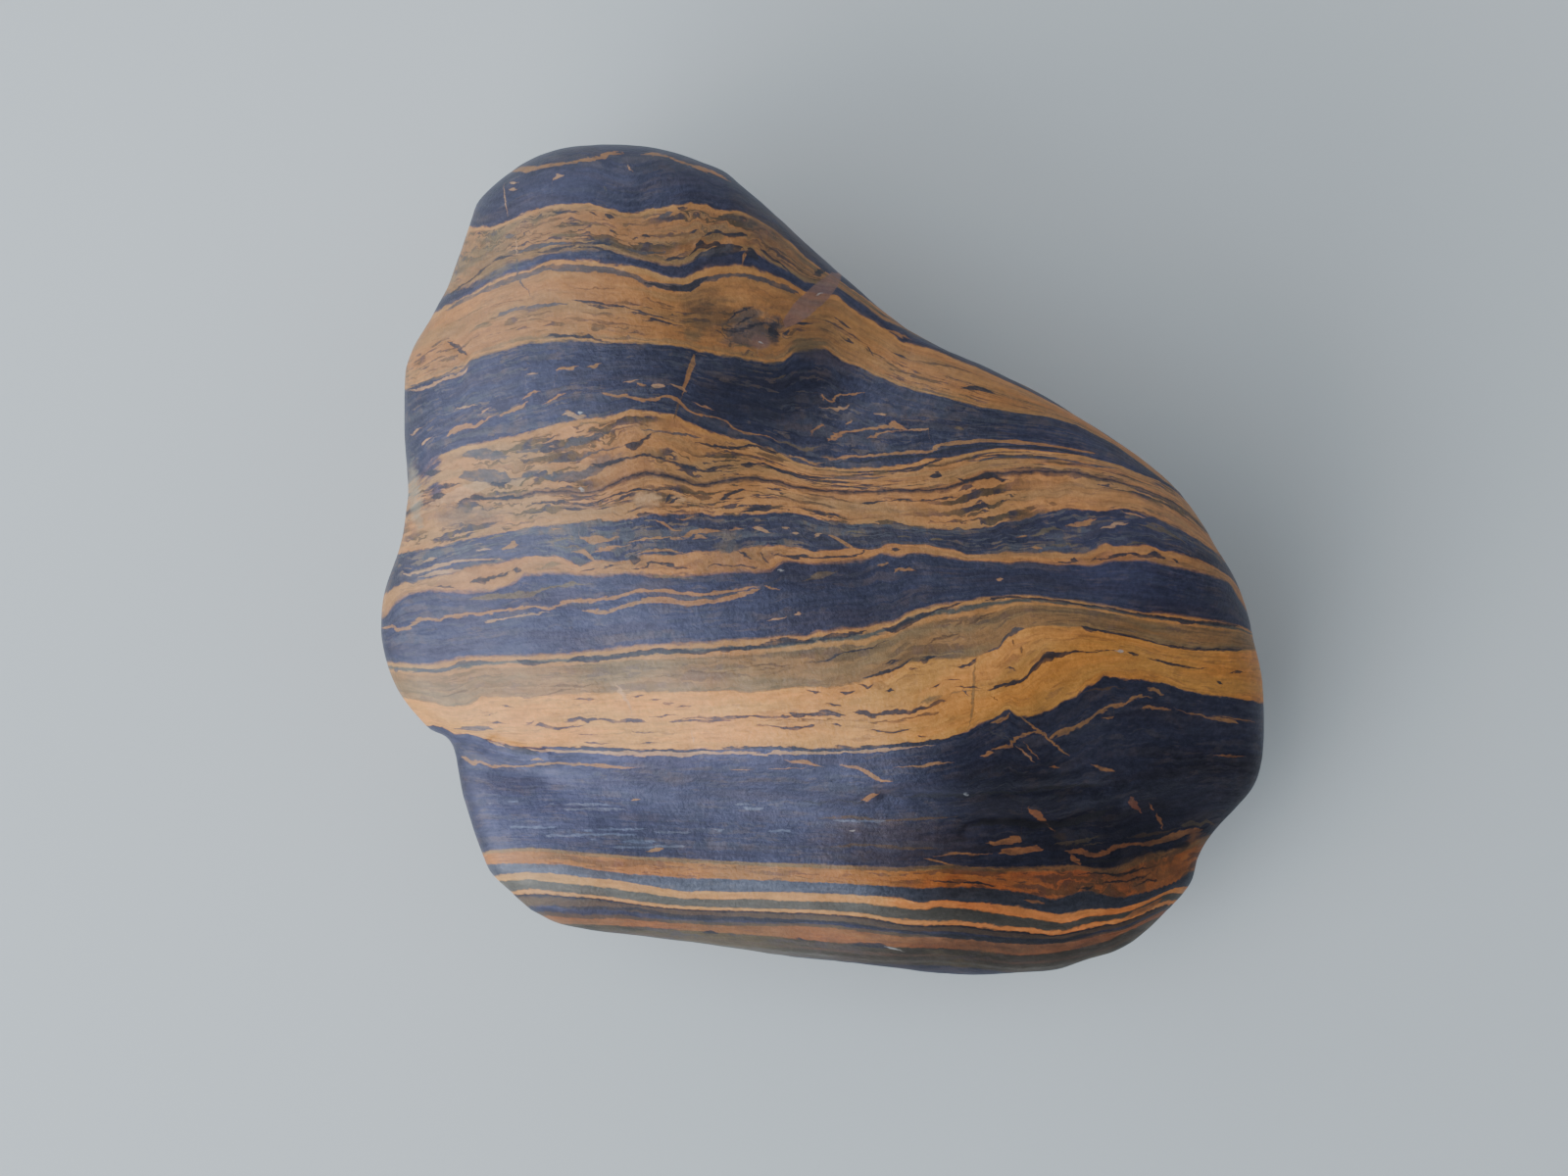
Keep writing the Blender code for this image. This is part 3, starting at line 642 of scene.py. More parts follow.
STREAKS["dark"] = (
    ((564, 217), (570, 217, 4), (578, 216)),
    ((582, 216), (586, 216, 3), (590, 216)),
    ((617, 219), (623, 222, 6), (628, 223)),
    ((601, 216), (606, 218, 2), (611, 221)),
    ((690, 212), (696, 213, 6), (702, 211)),
    ((654, 240), (659, 241, 4), (664, 242)),
    ((703, 238), (708, 236, 4), (713, 234)),
    ((500, 268), (508, 264, 4), (520, 262, 2), (528, 262)),
    ((545, 258), (560, 256, 3), (572, 254, 3), (590, 250)),
    ((575, 253), (605, 252, 2.5), (620, 256, 2), (640, 262)),
    ((604, 249), (612, 248, 4), (626, 249)),
    ((677, 266), (684, 264, 4), (697, 263, 3), (702, 261)),
    ((455, 302), (463, 297, 3), (480, 287, 2), (497, 272, 2), (503, 268)),
    ((703, 262), (708, 256, 4), (712, 250, 8), (717, 248, 8), (721, 252, 4), (729, 247, 6),
     (733, 248, 5), (738, 252, 2), (745, 253)),
    ((717, 243), (722, 238, 3), (733, 236, 2.5), (742, 240, 3), (758, 239, 3), (764, 241)),
    ((655, 288), (665, 290, 3), (680, 293, 4), (692, 295, 5), (706, 293, 10), (712, 288, 8),
     (718, 285, 4), (723, 283)),
    ((582, 306), (592, 308, 2), (605, 309, 2.5), (628, 312, 2.5), (640, 314, 1), (655, 318, 2),
     (668, 324)),
    ((598, 311), (612, 313, 3), (625, 315)),
    ((640, 318), (655, 320, 2), (672, 323, 1.5), (690, 328)),
    ((655, 327), (665, 326, 3), (680, 330, 2), (698, 333)),
    ((813, 331), (820, 331, 3), (830, 330)),
    ((848, 321), (856, 326, 2), (864, 333, 2), (869, 336)),
    ((861, 347), (866, 348, 4), (872, 351)),
    ((884, 352), (888, 358, 3), (893, 366)),
    ((910, 359), (918, 363, 2), (927, 366)),
    ((980, 396), (988, 396, 3), (996, 396, 5), (1005, 398, 4), (1016, 402)),
    ((742, 329), (750, 321, 2.5), (757, 316, 3), (769, 314)),
    ((750, 333), (757, 327, 3), (765, 324, 2.5), (771, 319)),
    ((736, 336), (750, 337, 3), (762, 334, 3), (772, 330, 2.5), (790, 330)),
    ((783, 339), (786, 336, 7), (791, 339, 7), (796, 342)),
    ((800, 342), (803, 340, 4), (807, 336)),
    ((829, 280), (836, 278, 9), (843, 276)),
    ((704, 266), (714, 261, 5), (726, 257, 8), (738, 254, 11), (750, 253, 10), (758, 252)),
    ((760, 258), (764, 256, 10), (769, 258, 8), (775, 265)),
    ((775, 253), (780, 257, 4), (787, 263, 3), (797, 269, 2), (805, 277, 2), (811, 283)),
    ((555, 343), (565, 342, 3), (590, 344, 4), (600, 343, 4), (612, 347, 2), (622, 350)),
    ((636, 454), (643, 455, 6), (648, 455, 9), (652, 452, 4), (662, 445, 2), (673, 440)),
    ((549, 459), (555, 459, 7), (562, 459, 6), (568, 456, 3), (575, 454)),
    ((529, 468), (535, 470, 5), (542, 469)),
    ((600, 475), (610, 475, 4), (620, 474, 5), (630, 471, 4), (640, 467, 3), (662, 464, 3),
     (682, 470, 3), (690, 473, 4), (710, 479, 3), (720, 481, 3), (727, 479, 4), (735, 475, 3),
     (752, 475)),
    ((755, 474), (762, 475, 5), (770, 474, 2), (780, 473, 1.5), (790, 478, 3), (800, 482, 4),
     (820, 486, 3), (836, 488, 3), (846, 489)),
    ((498, 494), (506, 493, 5), (514, 494, 5), (521, 493)),
    ((465, 514), (475, 510, 3), (500, 509, 3), (528, 508, 3), (537, 508)),
    ((540, 516), (550, 513, 3), (575, 512, 3), (600, 515, 3), (608, 513, 2.5), (622, 507, 2),
     (640, 502, 3), (652, 499, 2.5), (690, 501)),
    ((570, 519), (580, 519, 3), (590, 519, 3), (601, 518)),
    ((605, 519), (615, 519, 2), (630, 517)),
    ((540, 523), (548, 523, 2), (557, 523)),
    ((734, 511), (740, 507, 5), (746, 504, 5), (754, 500, 3), (763, 499)),
    ((879, 514), (886, 514, 5), (893, 513, 2), (905, 511, 1.5), (950, 511, 1.5), (965, 509, 3),
     (978, 507)),
    ((752, 524), (762, 522, 2), (772, 520, 3), (784, 520, 4), (796, 518)),
    ((707, 452), (715, 451, 2), (725, 454, 3), (742, 457, 4), (758, 456, 2), (770, 455, 2),
     (780, 458, 3), (788, 462, 3), (796, 463)),
    ((905, 481), (915, 480, 2), (927, 481, 2), (938, 478, 3), (946, 474, 3), (955, 470, 3),
     (963, 468)),
    ((949, 486), (953, 485, 6), (957, 484, 8), (962, 486)),
    ((838, 471), (870, 472, 2), (900, 469, 2.5), (940, 465, 2.5), (970, 458, 3), (1000, 455, 2.5),
     (1040, 456, 2), (1080, 459, 1.5), (1110, 465)),
    ((975, 487), (985, 491, 4), (1000, 487, 6), (1015, 486, 4), (1022, 490, 3), (1032, 490)),
    ((432, 483), (440, 482, 8), (451, 480)),
    ((445, 498), (456, 496, 6), (471, 493)),
    ((439, 508), (446, 506, 8), (456, 505)),
    ((680, 515), (688, 512, 5), (694, 507)),
    ((478, 596), (484, 592, 5), (490, 591, 7), (496, 592, 6), (501, 589, 3), (516, 587, 2),
     (523, 583)),
    ((524, 582), (528, 581, 9), (532, 581)),
    ((442, 599), (450, 598, 2), (460, 599, 2), (469, 599)),
    ((592, 584), (598, 582, 2), (604, 581, 3), (609, 580)),
    ((612, 580), (625, 578, 1.5), (636, 577)),
    ((642, 570), (645, 572, 8), (648, 573, 10), (651, 572, 4), (655, 571)),
    ((643, 580), (650, 581, 1.5), (658, 580, 1.5), (664, 575, 2), (690, 578, 2.5), (699, 579, 3),
     (705, 581)),
    ((720, 579), (727, 577, 2), (740, 577, 1.5), (768, 578, 2), (773, 579)),
    ((752, 562), (760, 566, 3), (768, 570)),
    ((776, 564), (780, 570, 5), (785, 576)),
    ((786, 565), (797, 566, 2), (812, 569, 3), (820, 567, 3), (832, 569, 2), (852, 568, 1.5),
     (872, 567, 3), (880, 564, 2), (885, 561)),
    ((909, 561), (914, 561, 5), (919, 561)),
    ((1070, 573), (1090, 574, 2), (1096, 571, 5), (1101, 572)),
    ((1112, 572), (1130, 569, 2), (1140, 566, 5), (1148, 566, 3), (1153, 564, 2), (1168, 567, 3),
     (1178, 565, 5), (1185, 568, 4), (1191, 570)),
    ((1196, 569), (1200, 572, 3), (1205, 576)),
    ((526, 673), (534, 676, 6), (545, 677, 5), (551, 676, 2), (570, 676)),
    ((577, 675), (590, 673, 6), (605, 673, 6), (620, 671, 5), (640, 668, 5), (660, 665, 5),
     (690, 664, 4), (712, 666, 4), (730, 663, 4), (745, 662, 4), (775, 659, 4), (790, 655, 6),
     (810, 654, 6), (828, 655, 2), (833, 654)),
    ((836, 655), (841, 652, 6), (848, 648, 6), (860, 648, 4), (875, 646, 4), (887, 644)),
    ((900, 641), (908, 643, 7), (915, 641, 8), (925, 636, 7), (935, 631, 6), (945, 627, 5),
     (955, 624, 3), (970, 619, 3), (986, 615)),
    ((1003, 613), (1015, 611, 4), (1030, 609, 2), (1045, 610, 2), (1080, 613, 2), (1100, 617, 2),
     (1130, 620, 2), (1150, 625, 2), (1170, 628, 2), (1200, 632, 2), (1206, 634, 6), (1213, 635, 4),
     (1230, 635, 2), (1245, 637, 4), (1258, 638, 3), (1266, 640)),
    ((820, 677), (843, 674, 1.5), (854, 668, 4), (858, 666, 1), (872, 665, 2), (893, 660, 1),
     (910, 653)),
    ((880, 692), (887, 690, 2.5), (895, 688, 3), (912, 684, 3), (921, 679, 3), (926, 675, 2),
     (932, 671)),
    ((901, 678), (908, 676, 2), (921, 672)),
    ((937, 674), (944, 673, 4), (950, 671, 3), (958, 670)),
    ((975, 680), (982, 681, 3), (989, 679, 4), (994, 675, 3), (998, 670)),
    ((1102, 638), (1107, 640, 3), (1112, 642, 3), (1122, 643, 1.5), (1165, 652, 2), (1190, 659, 2),
     (1218, 663, 2.5), (1245, 663, 2), (1258, 663, 3), (1269, 662)),
    ((584, 713), (590, 713, 2.5), (600, 713, 2.5), (608, 713)),
    ((643, 712), (650, 711, 2), (658, 710)),
    ((662, 714), (669, 714, 2), (676, 714)),
    ((675, 718), (681, 717, 3), (689, 717)),
    ((688, 720), (697, 720, 1.5), (708, 720)),
    ((511, 721), (517, 721, 2.5), (524, 722)),
    ((493, 731), (500, 730, 1.5), (507, 727)),
    ((499, 738), (508, 737, 2), (518, 738)),
    ((534, 739), (540, 738, 2), (547, 736)),
    ((546, 741), (552, 740, 4), (560, 742, 3), (570, 744, 2), (590, 741, 2), (598, 739)),
    ((573, 737), (582, 736, 3), (592, 734, 3), (600, 736, 5), (612, 734, 2), (626, 735, 3),
     (640, 735, 4), (655, 735, 4), (660, 736)),
    ((662, 731), (680, 730, 2.5), (692, 729)),
    ((680, 736), (688, 736, 3), (700, 735, 2), (720, 735, 3), (740, 735, 2), (750, 735)),
    ((692, 734), (712, 731, 2.5), (733, 733, 3), (745, 732, 3), (772, 731, 2), (804, 731, 3),
     (808, 730)),
    ((805, 727), (810, 729, 6), (816, 730, 6), (822, 729, 3), (830, 729, 4), (838, 727, 6),
     (845, 727, 6), (852, 729, 5), (858, 730, 4), (864, 731)),
    ((871, 728), (877, 727, 4), (884, 728, 6), (890, 731, 5), (902, 728, 4), (915, 726, 6),
     (930, 726, 5), (937, 723, 5), (944, 722, 4), (950, 719, 3), (955, 716, 5), (960, 713, 3),
     (966, 714)),
    ((770, 740), (788, 741, 1.5), (797, 743, 3), (815, 743, 4), (829, 740, 3), (833, 740)),
    ((841, 738), (855, 740, 2), (859, 741)),
    ((888, 745), (896, 746, 1.5), (912, 747, 3), (925, 745, 2), (931, 745)),
    ((936, 751), (941, 751, 3), (946, 751)),
    ((645, 747), (652, 747, 2), (672, 748)),
    ((590, 750), (600, 750, 1.5), (610, 750)),
    ((594, 758), (602, 758, 3), (612, 759, 2), (623, 759)),
    ((653, 759), (663, 758, 2), (681, 757)),
    ((822, 703), (827, 705, 3), (833, 706, 3.5), (838, 706)),
    ((856, 706), (862, 708, 4), (868, 707, 3), (874, 705)),
    ((876, 697), (881, 699, 3), (886, 702, 4), (892, 698)),
    ((904, 705), (908, 704, 5), (913, 704)),
    ((927, 682), (932, 682, 4), (937, 681)),
    ((951, 704), (955, 701, 3.5), (960, 698)),
    ((844, 718), (852, 719, 2), (860, 720)),
    ((963, 693), (972, 694, 2), (981, 694)),
    ((975, 701), (985, 701, 1.5), (1004, 701)),
    ((1027, 683), (1032, 682, 2), (1038, 683)),
    ((1006, 703), (1012, 703, 2), (1024, 699, 3), (1038, 697, 3), (1043, 694, 4), (1049, 689, 3),
     (1053, 683, 4), (1056, 680, 7), (1060, 677, 5), (1063, 671, 8), (1067, 670, 10),
     (1072, 669, 9), (1076, 668, 6), (1085, 668, 5), (1095, 665, 3), (1108, 666, 1.5),
     (1128, 663, 1), (1148, 665)),
    ((1151, 665), (1156, 667, 3), (1163, 668)),
    ((1168, 670), (1175, 672, 1.5), (1195, 678, 3), (1212, 681, 2.5), (1233, 682)),
    ((1253, 687), (1260, 685, 2), (1270, 686)),
    ((1241, 695), (1245, 697, 3), (1249, 699)),
    ((511, 759), (516, 761, 4), (523, 764, 6), (530, 765, 7), (538, 767, 6), (546, 769, 3),
     (552, 770)),
    ((560, 763), (590, 763, 3), (620, 765, 3), (680, 766, 3), (705, 766, 4), (728, 765, 1),
     (750, 763, 3), (775, 764, 2), (805, 763, 3), (828, 766, 3), (848, 764, 3), (856, 763, 7),
     (862, 763, 6), (870, 764, 3), (895, 762, 3), (945, 759, 3), (962, 755, 3), (986, 748)),
    ((900, 812), (930, 813, 2), (940, 812, 4), (952, 813, 4), (968, 812, 3), (985, 812, 6),
     (991, 811, 4), (998, 810, 1), (1015, 809, 3), (1045, 808, 3), (1065, 805, 2), (1085, 804, 2),
     (1110, 802, 2), (1130, 803)),
    ((988, 844), (1003, 839, 6), (1025, 838, 7), (1040, 839, 6), (1055, 842, 7), (1085, 841, 6),
     (1100, 837, 7), (1115, 832, 6), (1130, 827, 4), (1142, 822)),
    ((965, 858), (978, 858, 4), (990, 856)),
    ((933, 848), (937, 846, 6), (941, 844)),
    ((850, 816), (872, 818, 2), (882, 818)),
    ((812, 817), (835, 820, 2), (848, 817)),
    ((948, 898), (968, 900, 2.5), (978, 900, 1), (998, 901, 3), (1018, 905)),
    ((1099, 906), (1110, 906, 3), (1117, 904)),
    ((1158, 904), (1164, 901, 1.5), (1176, 898, 2), (1183, 899)),
    ((560, 924), (600, 927, 4), (650, 928, 3), (680, 934, 4), (700, 936, 5), (750, 937, 4),
     (800, 940, 4), (830, 940, 2), (870, 941, 2), (900, 948, 2), (950, 954, 2), (980, 956, 4),
     (1020, 960, 5), (1065, 961, 5), (1085, 960, 4), (1100, 955, 3), (1125, 950)),
    ((716, 951), (725, 951, 4), (733, 952)),
    ((812, 957), (818, 959, 3), (824, 960)),
    ((866, 965), (878, 964, 5), (902, 966, 5), (910, 968)),
    ((1100, 893), (1120, 890, 2), (1140, 893, 3), (1160, 888, 2), (1180, 884)),
    ((1120, 901), (1140, 900, 2), (1160, 896, 2), (1176, 892)),
    ((1090, 880), (1110, 879, 2), (1135, 879, 2), (1150, 875)),
)
# Small pale marks: painted highlights where the stone glints, and a few pale specks
STREAKS["glints and specks"] = (
    ((773, 348), (776, 349, 3), (779, 350)),
    ((833, 302), (836, 300, 4), (839, 298)),
    ((589, 421), (592, 421, 3), (595, 421)),
    ((590, 500), (593, 500, 3), (596, 500)),
    ((794, 582), (797, 582, 2), (800, 582)),
    ((1140, 664), (1143, 664, 4), (1147, 664)),
    ((983, 810), (986, 810, 3), (989, 810)),
    ((904, 966), (909, 968, 2), (914, 968, 2), (922, 971)),
    ((866, 847), (869, 847, 3), (872, 847)),
)

# Steep veins, traced in the same way but from the top down, so that the pixels down come first
VEINS = {}
VEINS["olive"] = (
    ((675, 995), (690, 994, 3), (725, 992, 3), (745, 988)),
)
VEINS["grey"] = (
    ((703, 983), (706, 986, 2), (712, 990)),
    ((742, 1000), (750, 1020, 2), (759, 1034)),
    ((739, 1012), (755, 1032, 2), (757, 1036)),
    ((188, 617), (191, 618, 4), (195, 619)),
    ((263, 527), (270, 527, 3.5), (278, 528, 2), (290, 533, 1.5), (306, 545)),
)
VEINS["brown"] = (
    ((402, 697), (415, 691, 2.5), (432, 688)),
    ((659, 1042), (663, 1042, 3), (668, 1043)),
    ((652, 1033), (655, 1034, 2), (659, 1035)),
    ((709, 1010), (712, 1015, 1.5), (716, 1021)),
)
VEINS["rose"] = (
    ((278, 854, 8), (284, 849, 14), (292, 842, 19), (302, 833, 21), (312, 823, 21), (321, 815, 18),
     (328, 808, 13), (332, 804, 6), (335, 801)),
)
VEINS["rust"] = (
    ((812, 1154), (818, 1156, 9), (825, 1160, 4), (830, 1166)),
)
VEINS["ochre"] = (
    ((252, 764), (260, 760, 3.5), (270, 757)),
    ((250, 769), (258, 774, 4), (263, 779)),
    ((359, 709), (372, 706, 6), (385, 702, 5), (395, 698, 3), (403, 697)),
    ((400, 839), (404, 840, 2), (408, 841)),
    ((824, 1050), (829, 1056, 8), (838, 1066, 5), (842, 1068, 2), (850, 1078)),
    ((872, 1092), (877, 1098, 6), (883, 1103)),
    ((829, 1180), (836, 1183, 4), (847, 1187)),
    ((821, 1172), (824, 1175, 3), (828, 1178)),
    ((722, 1030), (735, 1045, 2), (742, 1055, 3), (755, 1072, 2), (766, 1084, 2), (773, 1093)),
    ((757, 1044), (766, 1052, 1.5), (775, 1062)),
)
VEINS["pale"] = (
    ((187, 514), (203, 515, 1.5), (219, 519)),
    ((167, 640), (171, 643, 2), (175, 646)),
    ((240, 527), (250, 527, 1.5), (263, 527)),
    ((697, 627), (704, 632, 4), (714, 638, 4), (720, 642, 2), (729, 645)),
    ((745, 705), (755, 708, 2), (761, 707)),
    ((760, 1036), (772, 1050, 3), (778, 1057)),
)
VEINS["dark"] = (
    ((503, 684), (508, 682, 4), (514, 679)),
    ((347, 456), (352, 464, 4), (358, 471, 5), (363, 477)),
)

# Soft patches of another tone: its middle, half length and half width in pixels, its
# turn in degrees and how much it covers
PATCHES = (
    ("olive", 500, 262, 34, 28, 40, 0.60),
    ("olive", 706, 341, 10, 11, 0, 0.60),
    ("olive", 824, 352, 26, 8, 5, 0.85),
    ("grey", 620, 470, 22, 8, 8, 0.65),
    ("iron", 436, 474, 26, 13, 65, 0.95),
    ("iron", 444, 500, 13, 8, 20, 0.90),
    ("ash", 423, 505, 8, 38, 6, 0.60),
    ("olive", 742, 558, 15, 8, 0, 0.40),
    ("olive", 1158, 893, 60, 18, 12, 0.45),
    ("olive", 760, 325, 30, 12, 20, 0.50),
    ("grey", 478, 528, 44, 16, -6, 0.50),
    ("grey", 768, 339, 36, 18, 8, 0.75),
    ("grey", 762, 322, 26, 9, 18, 0.60),
    ("grey", 776, 232, 34, 10, -20, 0.50),
    ("brown", 722, 318, 34, 26, -20, 0.55),
    ("brown", 718, 315, 17, 12, 0, 0.95),
    ("brown", 666, 510, 27, 12, -4, 0.60),
    # painted shade: a faint darkening of the lower iron where it turns from the light
    ("brown", 920, 857, 95, 30, -2, 0.25),
    ("brown", 676, 507, 9, 6, -10, 0.60),
    # painted shade: this patch and the next darken slopes that face away from the light
    ("brown", 790, 240, 62, 22, -38, 0.30),
    ("brown", 830, 345, 75, 26, -28, 0.28),
    ("brown", 1081, 853, 10, 5, -20, 0.60),
    ("rose", 776, 349, 11, 9, 0, 0.75),
    ("ochre", 1218, 856, 11, 6, 20, 0.60),
    ("pale", 658, 509, 17, 10, -4, 0.95),
    ("pale", 692, 510, 7, 6, 0, 0.80),
    ("dark", 790, 342, 7, 12, 15, 0.95),
    ("dark", 1206, 862, 10, 6, 10, 0.80),
)

# Places where the laminae are churned: middle, half length, half width, turn, and how much
CHURNED = (
    (768, 338, 48, 32, 10, 1.00),
    (765, 238, 75, 26, -15, 0.80),
    (520, 236, 60, 24, 20, 0.45),
    (500, 500, 95, 42, -8, 0.30),
    (665, 458, 95, 32, 0, 0.35),
    (470, 590, 80, 20, -4, 0.30),
    (700, 572, 130, 18, 0, 0.30),
    (1150, 890, 80, 30, 12, 0.50),
    (925, 850, 90, 26, 0, 0.35),
)

# Painted shade and painted light: places whose colour is darkened as if in shade and whose
# skin is rougher, and places whose colour is lightened as if lit more. What the colour is
# multiplied by, how much rougher the skin is, and the places, given as the patches are
PAINTED_SHADE_AND_LIGHT = (
    # painted shade on the low right and along the foot, where the skin is also made rougher
    ((0.46, 0.38, 0.32), 0.35, (
        (1160, 850, 190, 85, 22, 0.45),
        (1045, 815, 85, 45, 0, 0.25),
        (1010, 975, 210, 24, 4, 0.60),
        (1080, 915, 150, 45, 7, 0.25),
    )),
    # painted light over the left of the middle beds, the lower left and the right
    ((1.42, 1.42, 1.60), 0.0, (
        (630, 730, 250, 58, -2, 0.90),
        (1140, 560, 170, 70, -50, 0.60),
        (560, 825, 120, 45, 0, 0.40),
    )),
)

# Painted shade, on the low right and in a hollow: there every colour is deeper and darker, being
# multiplied by itself and by a number
SHADE_DEEPENED = (
    (1080, 915, 200, 60, 7, 0.48),
    (1150, 840, 190, 70, 22, 0.45),
    (1045, 810, 90, 48, 0, 0.50),
    (790, 400, 90, 40, 0, 0.35),
)
SHADE_DEEPNESS = 3.0

# Painted highlights: pale lines along lines etched into the lower iron bed, where they catch
# the light. Each is from and to, in pixels right, and pixels down
ETCHED_GLINTS = (
    (497, 503, 820), (518, 530, 818), (560, 565, 820), (575, 622, 821), (748, 765, 821),
    (520, 570, 844), (595, 607, 847), (610, 660, 846), (667, 705, 849), (728, 740, 847),
    (782, 808, 848), (556, 563, 853), (602, 610, 856), (635, 670, 859), (575, 640, 826),
    (560, 650, 852), (625, 700, 864), (758, 780, 825), (850, 905, 838),
)
ETCH_WIDTH = 2.2  # pixels
ETCH_TIP = 4  # pixels over which its ends narrow
STREAKS["glint"] = [
    (
        (start, down), (start + ETCH_TIP, down, ETCH_WIDTH),
        (end - ETCH_TIP, down, ETCH_WIDTH), (end, down),
    )
    for start, end, down in ETCHED_GLINTS
]

# Tones of the patches, streaks and veins, each laid over the ones before it: its colour,
# how much of the iron's sheen it has, and how much it covers
TONES = {
    "iron": ((0.048, 0.0430, 0.071), 1.0, 0.95),
    "ash": ((0.200, 0.158, 0.105), 0.0, 0.90),
    "olive": ((0.120, 0.072, 0.030), 0.1, 0.70),
    "grey": ((0.058, 0.046, 0.050), 0.35, 0.88),
    "brown": ((0.085, 0.038, 0.015), 0.1, 0.82),
    "rose": ((0.185, 0.083, 0.058), 0.0, 0.85),
    "rust": ((0.210, 0.065, 0.020), 0.0, 0.80),
    "ochre": ((0.300, 0.120, 0.032), 0.0, 0.80),
    "pale": ((0.400, 0.190, 0.075), 0.0, 0.70),
    "dark": ((0.030, 0.023, 0.030), 0.5, 0.94),
    # small pale marks: painted highlights where the stone glints, and a few pale specks
    "glints and specks": ((0.400, 0.350, 0.320), 0.0, 0.60),
    # painted highlights along the etched lines
    "glint": ((0.150, 0.145, 0.180), 0.9, 0.45),
}
MARK_EDGES = (-0.07, 0.06)  # how far outside its edge a mark begins, and inside has full tone
CHAIN_REACH = 620.0  # the most pixels that one chain of marks spans
CHAIN_GAP = 8.0  # the fewest pixels from one mark of a chain to the next
CHAIN_STEPS = 256  # how often a chain's middle and thickness are worked out

# Rocks: colour, then how much each has of long laminae, short dashes, olive clouds and iron
ROCKS = {
    "iron": ((0.048, 0.0430, 0.071), 0.22, 0.25, 0.10, 1.0),
    "wispy iron": ((0.046, 0.0420, 0.069), 0.32, 0.50, 0.15, 1.0),
    "flecked iron": ((0.047, 0.0420, 0.067), 0.60, 0.90, 0.20, 0.95),
    "blue iron": ((0.080, 0.074, 0.092), 0.15, 0.2, 0.10, 0.9),
    "dark line": ((0.030, 0.022, 0.030), 0.0, 0.1, 0.0, 0.7),
    "seam grey": ((0.085, 0.070, 0.055), 0.25, 0.3, 0.3, 0.5),
    "brown": ((0.075, 0.038, 0.022), 0.5, 0.3, 0.3, 0.2),
    "ochre rind": ((0.360, 0.145, 0.036), 0.0, 0.1, 0.0, 0.0),
    "pale rind": ((0.460, 0.185, 0.044), 0.0, 0.1, 0.0, 0.0),
    "ochre": ((0.300, 0.116, 0.029), 0.15, 0.22, 0.05, 0.0),
    "streaked": ((0.290, 0.113, 0.029), 0.25, 0.75, 0.05, 0.0),
    "knotted": ((0.260, 0.106, 0.031), 0.90, 0.90, 0.60, 0.0),
    "laminated": ((0.350, 0.140, 0.039), 0.95, 0.85, 0.20, 0.0),
    "folded": ((0.350, 0.133, 0.035), 0.30, 0.40, 0.10, 0.0),
    "olive": ((0.225, 0.106, 0.034), 0.45, 0.40, 0.35, 0.0),
    "dark olive": ((0.042, 0.029, 0.017), 0.75, 0.80, 0.60, 0.35),
    "orange": ((0.480, 0.175, 0.029), 0.08, 0.30, 0.0, 0.0),
    "striped": ((0.330, 0.108, 0.020), 0.50, 0.50, 0.10, 0.0),
    "red ochre": ((0.210, 0.066, 0.016), 0.3, 0.3, 0.1, 0.0),
}
EDGE = 0.08  # half the width over which one bed's colour turns into the next
MOST_STOPS = 32  # of one colour ramp

# Colours within the beds, and the two that the whole stone is multiplied by here and there
CLOUD = (0.135, 0.077, 0.032)
LAMINAE_IN_OCHRE = ((0.088, 0.053, 0.030), (0.036, 0.028, 0.038))
LAMINAE_IN_IRON = ((0.066, 0.056, 0.062), (0.120, 0.072, 0.046))
TINTS = ((1.06, 0.96, 0.88), (0.95, 1.01, 1.08))

# The skin: iron is smoother than ochre, and only iron has a metal's sheen
ROUGHNESS = (0.50, 0.44)  # of ochre and of iron
GRAIN_ROUGHNESS = 0.12  # how much rougher the grain makes it
IRON_SHEEN = 0.7  # how metallic pure iron is
LAMINA_SHEEN = 0.6  # how much of that sheen a lamina has in ochre; in iron it has none
BUMP = 0.00014  # metres of relief too fine for the mesh
FINE_BUMP = 0.45  # how much of it follows the fine bedding
GRAIN_BUMP = 0.60  # and how much the grain

# Noises drawn out along the beds: millimetres along the beds and across them, detail, and
# a shift that makes each its own
NOISES = {
    "slow": (9.0, 2.0, 1.0, 3.1),
    "quick": (2.0, 0.7, 2.0, 7.7),
    "fray": (0.8, 0.3, 1.0, 11.3),
    "broad": (16.0, 2.2, 2.0, 1.3),
    "clusters": (14.0, 2.6, 1.0, 15.1),
    "laminae": (11.0, 0.80, 2.0, 12.5),
    "dashes": (3.0, 0.36, 1.0, 19.7),
    "fine": (3.2, 0.55, 3.0, 5.9),
}
BEDDED_ROUGHNESS = 0.55

# Noises that run no way more than another: scale, detail and roughness
SWIRL = (0.42, 2.0, 0.55)
GRAIN = (1.7, 3.0, 0.65)

# How far noises throw things about, in millimetres
FRAY_THROW = 0.35
MARK_THROW = 0.8
QUICK_THROW = (0.80, 0.25)  # above the striped beds and in them
CALMING = 3.0  # how far above the striped beds the quick noise begins to weaken
CLOUD_CHURN = 0.25  # how churned the laminae are wherever the rock is cloudy
CHURN_HEIGHT = 9.0  # how far the swirls throw them where they are churned fully
PATCH_FRAY = 2.5  # how ragged the patches' edges are

